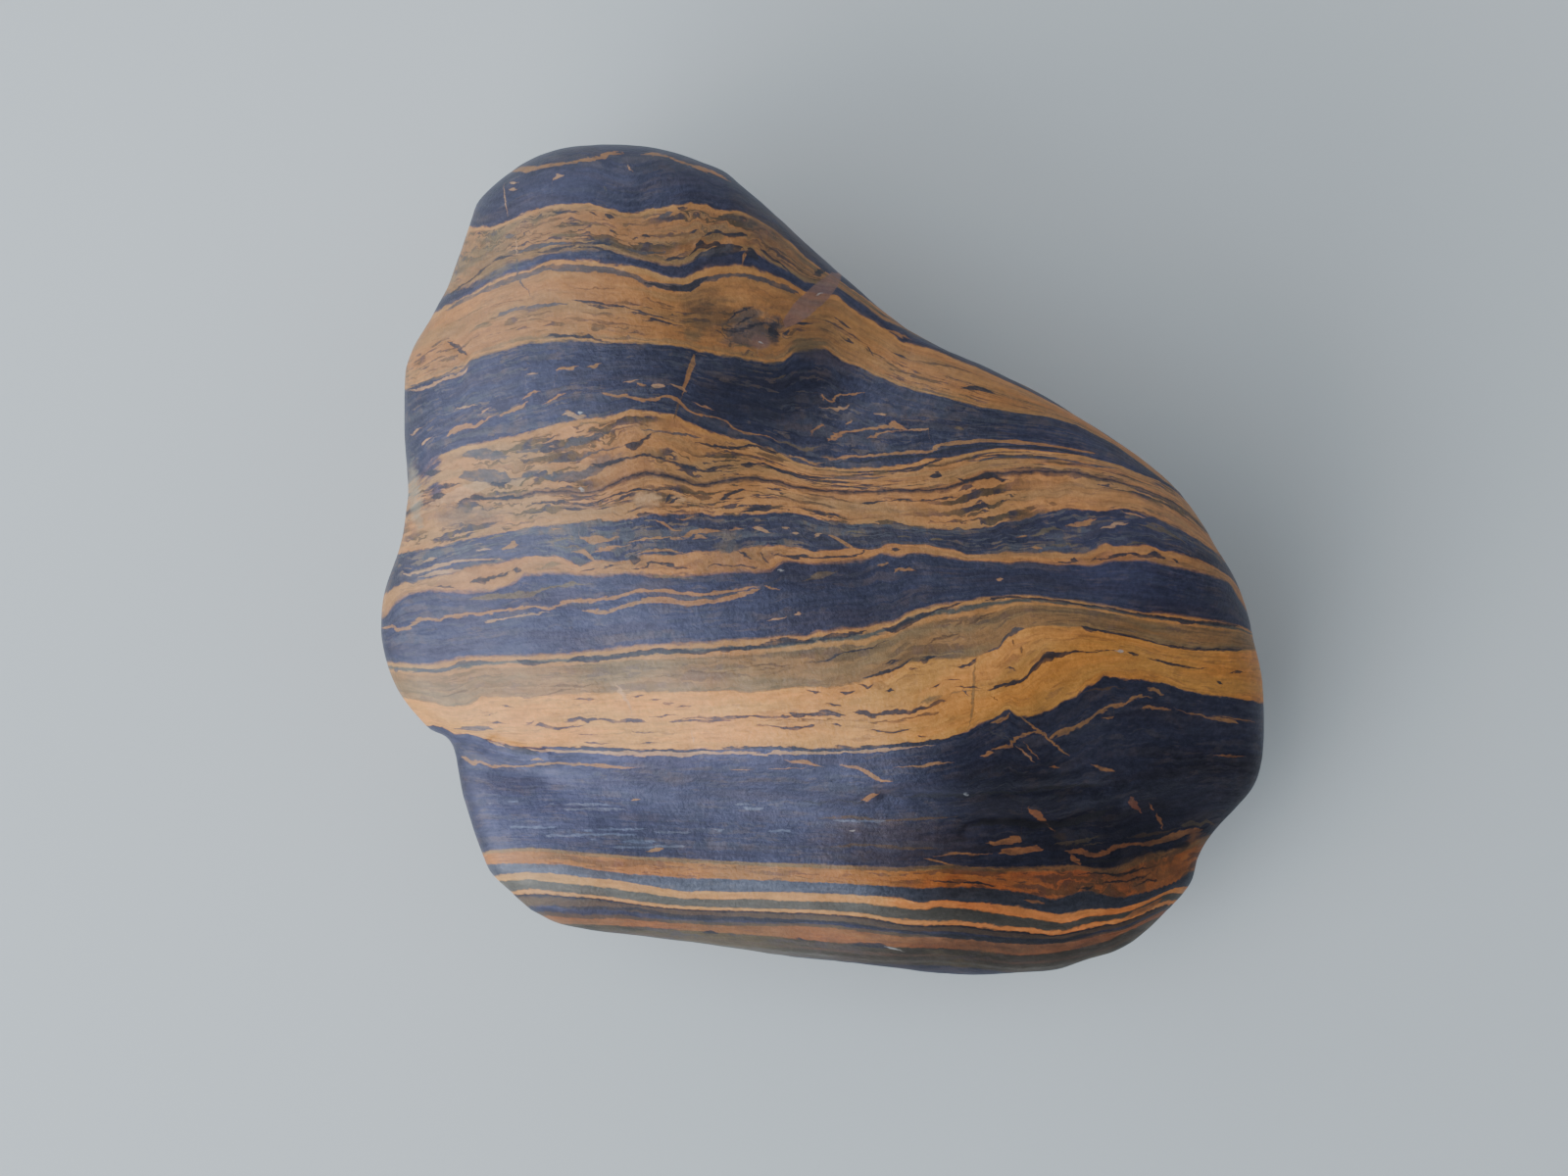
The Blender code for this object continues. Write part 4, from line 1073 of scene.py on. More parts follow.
# Ranges: where a value starts and ends, and, if it isn't 0 and 1, what is given at each
SLOW_THROW = (2.0, 12.0, 0.4, 1.6)  # millimetres under the rim, and of throw
MARKS_SHOWN = (2.0, 9.0, 1.0, 0.0)  # millimetres under the rim, and how much of a mark is left
MARKS_WORN = (-0.16, 0.02, 0.75, 1.0)
PATCH_EDGE = (0.0, 1.2, 1.0, 0.0)
CLOUDS_SHOWN = (0.46, 0.66)
CLUSTERED = (0.38, 0.54, 0.25, 1.0)
LAMINAE_SHOWN = (0.51, 0.57)
DASHES_SHOWN = (0.57, 0.62)
SECOND_COLOUR = (-0.05, 0.06)  # of the swirl, from the laminae's first colour to their second
TINTED = (0.35, 0.65)
FINE_TONE = (0.30, 0.70, 0.87, 1.13)
SWIRL_TONE = (-0.15, 0.15, 0.93, 1.07)
SPECKLE = (0.30, 0.70, -1.0, 1.0)
SPECKLE_DEPTH = (0.0, 1.0, 0.11, 0.15)  # in ochre and in iron

# Below the rim the beds dip and wander, so that the underside isn't the upper side again
DIP = 0.25  # millimetres for each millimetre under the rim
WANDER = 0.12  # the same
WANDER_WAVE = 34.0
WANDER_SEEDS = (5, 6)

# The floor, and the light: each lamp's compass direction and height in degrees, and watts
FLOOR_REACH = 2.5  # metres
FLOOR_COLOUR = (0.62, 0.58, 0.55)
FLOOR_ROUGHNESS = 0.8
LIGHTS = {
    "upper pane": (150.0, 12.0, 10.0),
    "middle pane": (180.0, 12.0, 8.0),
    "lower pane": (210.0, 12.0, 13.5),
    "corner pane": (240.0, 12.0, 10.5),
    "slanting pane": (225.0, 35.0, 8.2),
    "left sky": (180.0, 60.0, 7.3),
    "back": (108.0, 12.0, 8.2),
    "fill": (30.0, 12.0, 5.5),
    "right sky": (0.0, 60.0, 2.5),
}
LIGHT_DISTANCE = 1.2  # metres
LIGHT_SIZE = 0.9  # metres
DAYLIGHT = (0.70, 0.86, 1.0)
SKY_STRENGTH = 0.02


def in_plan(pixel):
    """A pixel of the photograph as millimetres right of and above the stone's middle."""
    return np.stack([
        (np.asarray(pixel[0], float) - STONE_MIDDLE[0]) / PIXELS_PER_MM,
        (STONE_MIDDLE[1] - np.asarray(pixel[1], float)) / PIXELS_PER_MM,
    ])


def camera_place():
    """Straight over the middle of the photograph, as far off as its scale and lens say."""
    x, y = in_plan((PHOTO_WIDTH / 2, PHOTO_HEIGHT / 2))
    return x, y, RIM_HEIGHT + PHOTO_WIDTH / PIXELS_PER_MM * LENS / SENSOR


def turned(x, y, place, degrees):
    """Distances along and across a direction, from a place."""
    turn = np.radians(degrees)
    dx = x - place[0]
    dy = y - place[1]
    return dx * np.cos(turn) + dy * np.sin(turn), dy * np.cos(turn) - dx * np.sin(turn)


def closed_curve(points, steps):
    """A smooth closed curve through all the points: between two of them, the cubic whose
    slope at each end is half the way from the point before to the point after."""
    here = np.asarray(points, float)[:, None]
    before, after, beyond = (np.roll(here, shift, 0) for shift in (1, -1, -2))
    t = np.linspace(0.0, 1.0, steps, endpoint=False)[None, :, None]
    bend = 2 * before - 5 * here + 4 * after - beyond
    twist = 3 * (here - after) + beyond - before
    return (here + 0.5 * t * (after - before + t * (bend + t * twist))).reshape(-1, 2)


def outline_radii():
    """The outline as distances from MIDDLE, a half degree apart, sharp and softened."""
    curve = closed_curve(OUTLINE, OUTLINE_STEPS) - MIDDLE
    angles = np.arctan2(curve[:, 1], curve[:, 0])
    order = np.argsort(angles)
    compass = np.radians(np.arange(-180.0, 180.0, 0.5))
    radii = np.hypot(*curve[order].T)
    sharp = np.interp(compass, angles[order], radii, period=2 * np.pi)
    reach = int(SOFTENING * 2)
    weights = np.hanning(2 * reach + 3)[1:-1]
    wrapped = np.concatenate([sharp[-reach:], sharp, sharp[:reach]])
    return compass, sharp, np.convolve(wrapped, weights / weights.sum(), "valid")


def facing(angle, degrees, power):
    """1 where an angle looks the given way, down to 0 a quarter turn from it."""
    return np.clip(np.cos(angle - np.radians(degrees)), 0.0, 1.0) ** power


def slopes(x, y, table, blend):
    """How far the slopes of a table reach at a place: steepness times the distance past
    each slope's start, with the largest of them taken softly."""
    reaches = [np.zeros_like(x)]
    for degrees, start, steepness in table:
        reaches.append(steepness * (turned(x, y, (0.0, 0.0), degrees)[0] - start))
    return blend * np.log(np.exp(np.array(reaches) / blend).sum(0))


def hollows(x, y):
    """Round-bottomed hollows: each a bell curve along and across its own direction."""
    depth = np.zeros_like(x)
    for cx, cy, half_length, half_width, degrees, deep in HOLLOWS:
        along, across = turned(x, y, (cx, cy), degrees)
        depth += deep * np.exp(-((along / half_length) ** 2) - (across / half_width) ** 2)
    return depth


def ledges(x, y):
    """Steps: a smooth rise across each ledge's line, fading out past its two ends."""
    rise = np.zeros_like(x)
    for cx, cy, half_length, degrees, high, soft in LEDGES:
        along, across = turned(x, y, (cx, cy), degrees)
        fade = np.exp(-((along / half_length) ** 4) - (across / half_length) ** 2)
        rise += high * np.tanh(across / soft) * fade
    return rise


def higher(a, b):
    """The higher of two heights, with the corner between them rounded."""
    return 0.5 * (a + b + np.sqrt((a - b) ** 2 + ROUNDING**2))


def upper_side(x, y, rim):
    ground = TOP_LEVEL - TOP_TILT * x - slopes(x, y, UPPER_SLOPES, UPPER_BLEND)
    return higher(ground, rim + SHOULDER_RISE) - hollows(x, y) + ledges(x, y)


def lower_side(x, y, rim):
    ground = slopes(x, y, LOWER_SLOPES, LOWER_BLEND) - SINK
    return -higher(-ground, BELLY_FALL - rim)


def stone_surface(directions):
    """The stone's points, one for each direction, and the height of the rim there.

    A direction's level and upward parts are put on the curve level**power + up**power = 1.
    The first times the outline's distance gives the place in plan, and the second gives
    how far the point has gone from the rim's height to the upper or lower side's.
    """
    angle = np.arctan2(directions[:, 1], directions[:, 0])
    level = np.hypot(directions[:, 0], directions[:, 1])
    up = np.abs(directions[:, 2])
    above = directions[:, 2] > 0.0
    steep = facing(angle, STEEP_SIDE, SHOULDER_FADE)
    power = np.where(above, SHOULDER + STEEP_SHOULDER * steep, BELLY)
    size = (level**power + up**power) ** (1.0 / power)
    out, up = level / size, up / size

    compass, sharp, soft = outline_radii()
    sharpness = out**NOTCH_FADE
    radius = np.interp(angle, compass, sharp, period=2 * np.pi) * sharpness
    radius += np.interp(angle, compass, soft, period=2 * np.pi) * (1.0 - sharpness)
    x = MIDDLE[0] + out * radius * np.cos(angle)
    y = MIDDLE[1] + out * radius * np.sin(angle)

    lift = STEEP_RISE * facing(angle, STEEP_SIDE, RISE_FADE)
    lift -= LOW_DROP * facing(angle, LOW_SIDE, RISE_FADE)
    rim = RIM_HEIGHT + lift * out**2
    ground = np.where(above, upper_side(x, y, rim), lower_side(x, y, rim))
    z = rim + (ground - rim) * up
    return np.stack([x, y, np.maximum(z, 0.0)], axis=1), RIM_HEIGHT + lift


def box_grid(level_cells, upright_cells):
    """Points and quads of a closed box from -1 to 1: six flat grids, joined at their edges.

    A point of a side is a pair of whole numbers of cells, u along one edge and v along the
    other. With the side's own place they make an address of three numbers, and points of
    two sides that have the same address are one point.
    """
    cells = np.array([level_cells, level_cells, upright_cells])
    addresses, quads, count = [], [], 0
    for axis in range(3):
        along, across = (axis + 1) % 3, (axis + 2) % 3
        u, v = np.indices((cells[along] + 1, cells[across] + 1))
        number = np.arange(u.size).reshape(u.shape)
        corners = [number[:-1, :-1], number[1:, :-1], number[1:, 1:], number[:-1, 1:]]
        for end in (0, cells[axis]):
            address = np.empty(u.shape + (3,), int)
            address[..., axis] = end
            address[..., along] = u
            address[..., across] = v
            addresses.append(address.reshape(-1, 3))
            turn = 1 if end else -1
            quads.append(np.stack(corners[::turn], axis=-1).reshape(-1, 4) + count)
            count += u.size
    points, same = np.unique(np.concatenate(addresses), axis=0, return_inverse=True)
    return 2.0 * points / cells - 1.0, same.reshape(-1)[np.concatenate(quads)]


def evenly_spread(points):
    """Points of a box turned into directions that lie about evenly round a ball."""
    spread = np.tan(points * np.pi / 4)
    return spread / np.linalg.norm(spread, axis=1)[:, None]


def fitted(points, low, high):
    """The points stretched to fill a box exactly."""
    lowest, highest = points.min(0), points.max(0)
    return (points - lowest) / (highest - lowest) * (high - low) + low


def outward(points, quads):
    """Unit normals: at each point, the sum of the cross products of its quads' diagonals."""
    a, b, c, d = (points[quads[:, corner]] for corner in range(4))
    across = np.cross(c - a, d - b)
    total = np.stack([
        sum(np.bincount(quads[:, corner], across[:, axis], len(points)) for corner in range(4))
        for axis in range(3)
    ], axis=1)
    return total / np.linalg.norm(total, axis=1)[:, None]


def swell(points, wave, seed):
    """A smooth random field from -1 to 1: the sum of plane waves of about one wavelength."""
    draw = np.random.default_rng(seed)
    ways = draw.normal(size=(WAVES, 3))
    numbers = 2 * np.pi / wave * draw.uniform(*WAVE_SPREAD, WAVES)
    ways *= (numbers / np.linalg.norm(ways, axis=1))[:, None]
    phases = draw.uniform(0, 2 * np.pi, WAVES)
    return np.sin(points @ ways.T + phases).sum(1) / (SWELL_PEAK * WAVES**0.5)


def bed_tops():
    """The level of each bed's top in the pile, and the level of each traced line."""
    tops = np.concatenate([[0.0], np.cumsum([thickness for _, thickness, _ in BEDS])])
    traced = {line: top for (_, _, line), top in zip(BEDS, tops) if line}
    return tops, traced


def bed_levels(x, y):
    """How deep in the pile of beds each place of the plan lies, in millimetres.

    Between two traced lines the level goes evenly from the one's to the other's. Above the
    first line and under the last it goes on a millimetre for a millimetre.
    """
    _, traced = bed_tops()
    heights = []
    for name in LINES:
        line_x, line_y = in_plan(np.array(LINES[name]).T)
        height = sum(np.interp(x + shift, line_x, line_y) for shift in LINE_SOFTENING)
        height = height / len(LINE_SOFTENING)
        if heights:
            height = np.minimum(height, heights[-1] - LEAST_BED)
        heights.append(height)
    values = [traced[name] for name in LINES]
    level = values[0] - np.maximum(y - heights[0], 0.0) + np.maximum(heights[-1] - y, 0.0)
    for here, below, start, end in zip(heights, heights[1:], values, values[1:]):
        level += (end - start) * np.clip((here - y) / (here - below), 0.0, 1.0)
    return level


def place_in_plan(points, rims):
    """Each point's place on the photograph's plan, and how far it is under the rim.

    Higher ground is nearer to the camera and so spreads from the photograph's middle by
    the ratio of the two distances. Under the rim the beds dip and wander.
    """
    x0, y0, camera = camera_place()
    nearer = (camera - RIM_HEIGHT) / (camera - points[:, 2])
    under = np.maximum(rims - points[:, 2], 0.0)
    x = x0 + (points[:, 0] - x0) * nearer
    y = y0 + (points[:, 1] - y0) * nearer - DIP * under
    x += WANDER * under * swell(points, WANDER_WAVE, WANDER_SEEDS[0])
    y += WANDER * under * swell(points, WANDER_WAVE, WANDER_SEEDS[1])
    return np.stack([x, y, points[:, 2]], axis=1), under


def worn_relief(plan, points, levels, under):
    """Height of the worn relief: swells of a few sizes, and iron beds a little proud."""
    height = sum(high * swell(points, wave, seed) for wave, high, seed in SWELLS)
    tops, _ = bed_tops()
    middles = (tops[:-1] + tops[1:]) / 2
    hard = np.array([ROCKS[rock][4] for rock, _, _ in BEDS])
    height += IRON_PROUD * np.interp(levels, middles, hard)
    return height - grooves(plan) * np.exp(-under / GROOVE_FADE)


def grooves(plan):
    """Depth of the grooves: a bell curve of the distance to each groove's nearest stretch."""
    depth = np.zeros(len(plan))
    for half_width, deep, route in GROOVES:
        route = in_plan(np.array(route).T).T
        nearest = np.full(len(plan), np.inf)
        for start, end in zip(route, route[1:]):
            way = end - start
            share = np.clip((plan[:, :2] - start) @ way / (way @ way), 0.0, 1.0)
            nearest = np.minimum(nearest, np.hypot(*(plan[:, :2] - start - share[:, None] * way).T))
        depth = np.maximum(depth, deep * np.exp(-((nearest / half_width) ** 2)))
    return depth


def make_stone():
    """The stone's surface, with its plan, bed level and distance under the rim."""
    low, high = (np.array(corner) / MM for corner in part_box("stone"))
    grid, quads = box_grid(LEVEL_CELLS, UPRIGHT_CELLS)
    points, rims = stone_surface(evenly_spread(grid))
    points = fitted(points, low, high)
    plan, under = place_in_plan(points, rims)
    relief = worn_relief(plan, points, bed_levels(plan[:, 0], plan[:, 1]), under)
    points = points + outward(points, quads) * relief[:, None]
    points[:, 2] = np.maximum(points[:, 2], low[2])
    points = fitted(points, low, high)
    plan, under = place_in_plan(points, rims)
    levels = bed_levels(plan[:, 0], plan[:, 1])

    mesh = bpy.data.meshes.new("banded stone")
    mesh.vertices.add(len(points))
    mesh.vertices.foreach_set("co", (points * MM).astype(np.float32).ravel())
    mesh.loops.add(quads.size)
    mesh.loops.foreach_set("vertex_index", quads.astype(np.int32).ravel())
    mesh.polygons.add(len(quads))
    mesh.polygons.foreach_set("loop_start", np.arange(0, quads.size, 4, dtype=np.int32))
    mesh.update(calc_edges=True)
    mesh.shade_smooth()
    for name, values in (("level", levels), ("under", under)):
        layer = mesh.attributes.new(name, "FLOAT", "POINT")
        layer.data.foreach_set("value", values.astype(np.float32))
    layer = mesh.attributes.new("plan", "FLOAT_VECTOR", "POINT")
    layer.data.foreach_set("vector", plan.astype(np.float32).ravel())
    stone = bpy.data.objects.new("banded_stone", mesh)
    bpy.context.scene.collection.objects.link(stone)
    return stone


class Wires:
    """Places nodes in one node tree. What feeds a socket is another socket or a plain value."""

    def __init__(self, tree):
        self.tree = tree

    def place(self, kind, inputs, **settings):
        node = self.tree.nodes.new(kind)
        for name, value in settings.items():
            setattr(node, name, value)
        for name, value in inputs.items():
            self.feed(node.inputs[name], value)
        return node

    def feed(self, socket, value):
        if isinstance(value, bpy.types.NodeSocket):
            self.tree.links.new(value, socket)
        else:
            socket.default_value = value

    def math(self, operation, *values):
        return self.place("ShaderNodeMath", dict(enumerate(values)), operation=operation).outputs[0]

    def vector(self, operation, *values):
        inputs = dict(enumerate(values))
        return self.place("ShaderNodeVectorMath", inputs, operation=operation).outputs[0]

    def times(self, first, second):
        return self.math("MULTIPLY", first, second)

    def toward(self, share, start, end):
        """From start to end, by a share."""
        return self.math("MULTIPLY_ADD", share, self.math("SUBTRACT", end, start), start)

    def largest(self, values):
        result = values[0]
        for value in values[1:]:
            result = self.math("MAXIMUM", result, value)
        return result

    def between(self, value, start, end, low=0.0, high=1.0):
        """From low to high, smoothly, as the value goes from start to end."""
        inputs = {"Value": value, "From Min": start, "From Max": end, "To Min": low, "To Max": high}
        return self.place("ShaderNodeMapRange", inputs, interpolation_type="SMOOTHSTEP").outputs[0]

    def mix(self, share, first, second, blend="MIX"):
        node = self.place("ShaderNodeMix", {}, data_type="RGBA", blend_type=blend)
        for name, value in (("Factor_Float", share), ("A_Color", first), ("B_Color", second)):
            if isinstance(value, tuple):
                value = (*value, 1.0)
            self.feed(next(s for s in node.inputs if s.identifier == name), value)
        return next(s for s in node.outputs if s.identifier == "Result_Color")

    def curves(self, place, heights):
        """Three values, each running straight from one of its heights to the next while its
        part of the place goes from -1 to 1. Past both ends they keep their last heights."""
        node = self.place("ShaderNodeVectorCurve", {"Vector": place})
        node.mapping.use_clip = False
        node.mapping.extend = "HORIZONTAL"
        for curve, row in zip(node.mapping.curves, heights):
            steps = np.linspace(-1.0, 1.0, len(row))
            curve.points[0].location = (steps[0], row[0])
            curve.points[1].location = (steps[-1], row[-1])
            for step, height in zip(steps[1:-1], row[1:-1]):
                curve.points.new(step, height)
            for point in curve.points:
                point.handle_type = "VECTOR"
        node.mapping.update()
        return node.outputs[0]

    def parts(self, vector):
        return list(self.place("ShaderNodeSeparateXYZ", {0: vector}).outputs)

    def even_noise(self, place, scale, detail, roughness):
        """Noise that runs no way more than another."""
        inputs = {"Vector": place, "Scale": scale, "Detail": detail, "Roughness": roughness}
        return self.place("ShaderNodeTexNoise", inputs).outputs[0]

    def attribute(self, name, output):
        return self.place("ShaderNodeAttribute", {}, attribute_name=name).outputs[output]

    def group(self, tree, inputs):
        node = self.tree.nodes.new("ShaderNodeGroup")
        node.node_tree = tree
        for name, value in inputs.items():
            self.feed(node.inputs[name], value)
        return node.outputs[0]


def new_group(name, inputs, output):
    """A shader node group with named number inputs, a Plan vector, and one output."""
    tree = bpy.data.node_groups.new(name, "ShaderNodeTree")
    for label in inputs:
        kind = "NodeSocketVector" if label == "Plan" else "NodeSocketFloat"
        tree.interface.new_socket(label, in_out="INPUT", socket_type=kind)
    tree.interface.new_socket(output, in_out="OUTPUT", socket_type="NodeSocketFloat")
    sources = tree.nodes.new("NodeGroupInput").outputs
    result = tree.nodes.new("NodeGroupOutput").inputs[0]
    return Wires(tree), sources, result


def bedded_noise():
    """Noise drawn out along the beds: its place is the plan's x and z over one size and
    the level over another, so it is long where the beds are cut and broad on their faces."""
    wires, given, result = new_group(
        "bedded noise", ("Plan", "Level", "Along", "Across", "Detail", "Shift"), "Noise"
    )
    right, _, high = wires.parts(given["Plan"])
    along = wires.math("DIVIDE", right, given["Along"])
    place = wires.place("ShaderNodeCombineXYZ", {
        "X": wires.math("ADD", along, given["Shift"]),
        "Y": wires.math("DIVIDE", given["Level"], given["Across"]),
        "Z": wires.math("DIVIDE", high, given["Along"]),
    }).outputs[0]
    wires.feed(result, wires.even_noise(place, 1.0, given["Detail"], BEDDED_ROUGHNESS))
    return wires.tree


def bed_ramp(wires, level, finish):
    """Colour ramps over the whole pile of beds, each bed with what finish gives its rock.

    A ramp holds only MOST_STOPS stops, so the pile is cut into as many ramps as it needs,
    and each takes over from the one above at the level of its first stop.
    """
    tops, _ = bed_tops()
    stops = []
    for (rock, _, _), top, end in zip(BEDS, tops, tops[1:]):
        stops += [(top + EDGE, finish(rock)), (end - EDGE, finish(rock))]
    colour, share = None, None
    for first in range(0, len(stops), MOST_STOPS - 2):
        part = stops[first:first + MOST_STOPS]
        start, end = part[0][0], part[-1][0]
        place = wires.place("ShaderNodeMapRange", {
            "Value": level, "From Min": start, "From Max": end,
        }).outputs[0]
        ramp = wires.place("ShaderNodeValToRGB", {"Fac": place})
        points = ramp.color_ramp.elements
        while len(points) < len(part):
            points.new(0.5)
        for point, (at, value) in zip(points, part):
            point.position = (at - start) / (end - start)
            point.color = value
        if colour is None:
            colour, share = ramp.outputs
            continue
        past = wires.math("GREATER_THAN", level, start)
        colour = wires.mix(past, colour, ramp.outputs[0])
        share = wires.toward(past, share, ramp.outputs[1])
    return colour, share


def chained(marks):
    """Marks shared out among chains, from left to right: a mark joins the first chain whose
    last mark ends far enough before it, and that doesn't grow too long."""
    chains = []
    for mark in sorted(marks, key=lambda mark: mark[0][0]):
        for chain in chains:
            gap = mark[0][0] - chain[-1][-1][0]
            if gap > CHAIN_GAP and mark[-1][0] - chain[0][0][0] < CHAIN_REACH:
                chain.append(mark)
                break
        else:
            chains.append([mark])
    return chains


def streak_measure(run, across, thickness):
    """A streak's place right of the middle, and its middle's and half thickness's levels."""
    x = in_plan((run, across))[0]
    upper = bed_levels(x, in_plan((run, across - thickness / 2))[1])
    lower = bed_levels(x, in_plan((run, across + thickness / 2))[1])
    return x, (upper + lower) / 2, (lower - upper) / 2


def vein_measure(run, across, thickness):
    """A vein's place above the middle, its place right of it, and its half width there."""
    x, y = in_plan((across, run))
    slant = np.hypot(1.0, np.gradient(x, y)) if len(run) > 1 else 1.0
    return y, x, thickness / PIXELS_PER_MM / 2 * slant


def chain_curves(chain, measure):
    """A chain's two ends, and at even steps between them the middle and half thickness of
    the mark that is there. Between marks the thickness is too little to show."""
    run = np.linspace(chain[0][0][0], chain[-1][-1][0], CHAIN_STEPS)
    places, middles, _ = measure(run, np.full(CHAIN_STEPS, chain[0][0][1]), 0.0 * run)
    halves = np.full(CHAIN_STEPS, MARK_EDGES[0])
    for mark in chain:
        at, across, thickness = np.array([(*point, 0.0)[:3] for point in mark]).T
        here = np.flatnonzero((run > at[0]) & (run < at[-1]))
        if len(here):
            here = np.arange(max(here[0] - 1, 0), min(here[-1] + 2, CHAIN_STEPS))
            _, middles[here], halves[here] = measure(
                run[here], np.interp(run[here], at, across), np.interp(run[here], at, thickness)
            )
    halves[[0, -1]] = MARK_EDGES[0]
    return places[0], places[-1], middles, halves


def marks_group(name, marks, measure):
    """A node group that tells how far inside the nearest mark a place is, in millimetres:
    the mark's half thickness less the distance from its middle line. Three chains are
    worked out at a time, as the three parts of a vector."""
    wires, given, result = new_group(name, ("Along", "Across"), "Inside")
    along, across = (
        wires.place("ShaderNodeCombineXYZ", {axis: given[way] for axis in "XYZ"}).outputs[0]
        for way in ("Along", "Across")
    )
    chains = [chain_curves(chain, measure) for chain in chained(marks)]
    chains += chains[-1:] * (-len(chains) % 3)
    inside = None
    for first in range(0, len(chains), 3):
        starts, ends, middles, halves = map(np.array, zip(*chains[first:first + 3]))
        place = wires.vector(
            "MULTIPLY_ADD", along, 2 / (ends - starts), (starts + ends) / (starts - ends)
        )
        off = wires.vector("SUBTRACT", across, wires.curves(place, middles))
        off = wires.vector("ABSOLUTE", off)
        depth = wires.vector("SUBTRACT", wires.curves(place, halves), off)
        inside = depth if inside is None else wires.vector("MAXIMUM", inside, depth)
    wires.feed(result, wires.largest(wires.parts(inside)))
    return wires.tree


def soft_patch():
    """How much of a patch there is: 1 in the middle of an ellipse and none outside it, with
    an edge that noise makes ragged."""
    wires, given, result = new_group("soft patch", (
        "Right", "Up", "Middle Right", "Middle Up", "Half Length", "Half Width", "Turn", "Noise",
    ), "Share")
    turn = wires.times(given["Turn"], np.pi / 180)
    cosine = wires.math("COSINE", turn)
    sine = wires.math("SINE", turn)
    right = wires.math("SUBTRACT", given["Right"], given["Middle Right"])
    up = wires.math("SUBTRACT", given["Up"], given["Middle Up"])
    along = wires.math("MULTIPLY_ADD", right, cosine, wires.times(up, sine))
    across = wires.math("SUBTRACT", wires.times(up, cosine), wires.times(right, sine))
    along = wires.math("DIVIDE", along, given["Half Length"])
    across = wires.math("DIVIDE", across, given["Half Width"])
    away = wires.math("MULTIPLY_ADD", along, along, given["Noise"])
    away = wires.math("MULTIPLY_ADD", across, across, away)
    wires.feed(result, wires.between(away, *PATCH_EDGE))
    return wires.tree


class StoneWires(Wires):
    """The wires of the stone's material, with what several of its layers need: each point's
    place on the stone and its place thrown about by noise, which makes edges ragged."""

    def __init__(self, tree):
        super().__init__(tree)
        self.noise_group = bedded_noise()
        self.patch_group = soft_patch()
        self.plan = self.attribute("plan", "Vector")
        self.level = self.attribute("level", "Fac")
        self.under = self.attribute("under", "Fac")
        self.shown = self.between(self.under, *MARKS_SHOWN)
        self.swirl = self.math("SUBTRACT", self.even_noise(self.plan, *SWIRL), 0.5)
        self.quick = self.centred("quick")
        self.right, self.up = (
            self.math("MULTIPLY_ADD", self.quick, MARK_THROW, part)
            for part in self.parts(self.plan)[:2]
        )
        self.ragged = self.ragged_level()

    def bedded(self, name, level):
        """One of the noises that are drawn out along the beds."""
        along, across, detail, shift = NOISES[name]
        return self.group(self.noise_group, {
            "Plan": self.plan, "Level": level, "Along": along, "Across": across,
            "Detail": detail, "Shift": shift,
        })

    def centred(self, name):
        return self.math("SUBTRACT", self.bedded(name, self.level), 0.5)

    def ragged_level(self):
        """The level with three noises added. Under the rim the slow one throws it further,
        and in the striped beds the quick one throws it less."""
        _, traced = bed_tops()
        stripes = traced["striped ochre"]
        calmer = (stripes - CALMING, stripes, *QUICK_THROW)
        level = self.level
        for noise, throw in (
            (self.centred("slow"), self.between(self.under, *SLOW_THROW)),
            (self.quick, self.between(self.level, *calmer)),
            (self.centred("fray"), FRAY_THROW),
        ):
            level = self.math("MULTIPLY_ADD", noise, throw, level)
        return level

    def patch(self, ragged, middle_right, middle_down, half_length, half_width, turn, cover):
        """How much there is of one patch, of those in the tables of patches."""
        x, y = in_plan((middle_right, middle_down))
        share = self.group(self.patch_group, {
            "Right": self.right, "Up": self.up, "Middle Right": x, "Middle Up": y, "Turn": turn,
            "Half Length": half_length / PIXELS_PER_MM, "Half Width": half_width / PIXELS_PER_MM,
            "Noise": ragged,
        })
        return self.times(share, cover)

    def patches(self, ragged, spots):
        """How much there is of each patch of a table."""
        return [self.patch(ragged, *spot) for spot in spots]


def lay_laminae(wires, traits, colour, iron):
    """Olive clouds, long laminae and short dashes, as much of each as the rock has, on a
    level that swirls where they are churned. Gives the broad noise, colour and iron."""
    lines, dashes, clouds = wires.place("ShaderNodeSeparateColor", {0: traits}).outputs
    churn = wires.largest([wires.times(clouds, CLOUD_CHURN), *wires.patches(wires.swirl, CHURNED)])
    laid = wires.times(wires.swirl, churn)
    laid = wires.math("MULTIPLY_ADD", laid, CHURN_HEIGHT, wires.ragged)

    broad = wires.bedded("broad", laid)
    cloud = wires.times(wires.between(broad, *CLOUDS_SHOWN), clouds)
    colour = wires.mix(cloud, colour, CLOUD)
    cluster = wires.between(wires.bedded("clusters", laid), *CLUSTERED)
    lamina = wires.between(wires.bedded("laminae", laid), *LAMINAE_SHOWN)
    dash = wires.between(wires.bedded("dashes", laid), *DASHES_SHOWN)
    marks = wires.largest([wires.times(lamina, lines), wires.times(dash, dashes)])
    marks = wires.times(marks, cluster)
    pick = wires.between(wires.swirl, *SECOND_COLOUR)
    in_ochre = wires.mix(pick, *LAMINAE_IN_OCHRE)
    in_iron = wires.mix(pick, *LAMINAE_IN_IRON)
    colour = wires.mix(marks, colour, wires.mix(iron, in_ochre, in_iron))
    gain = wires.math("MULTIPLY_ADD", iron, -1.0 - LAMINA_SHEEN, LAMINA_SHEEN)
    return broad, colour, wires.math("MULTIPLY_ADD", marks, gain, iron)


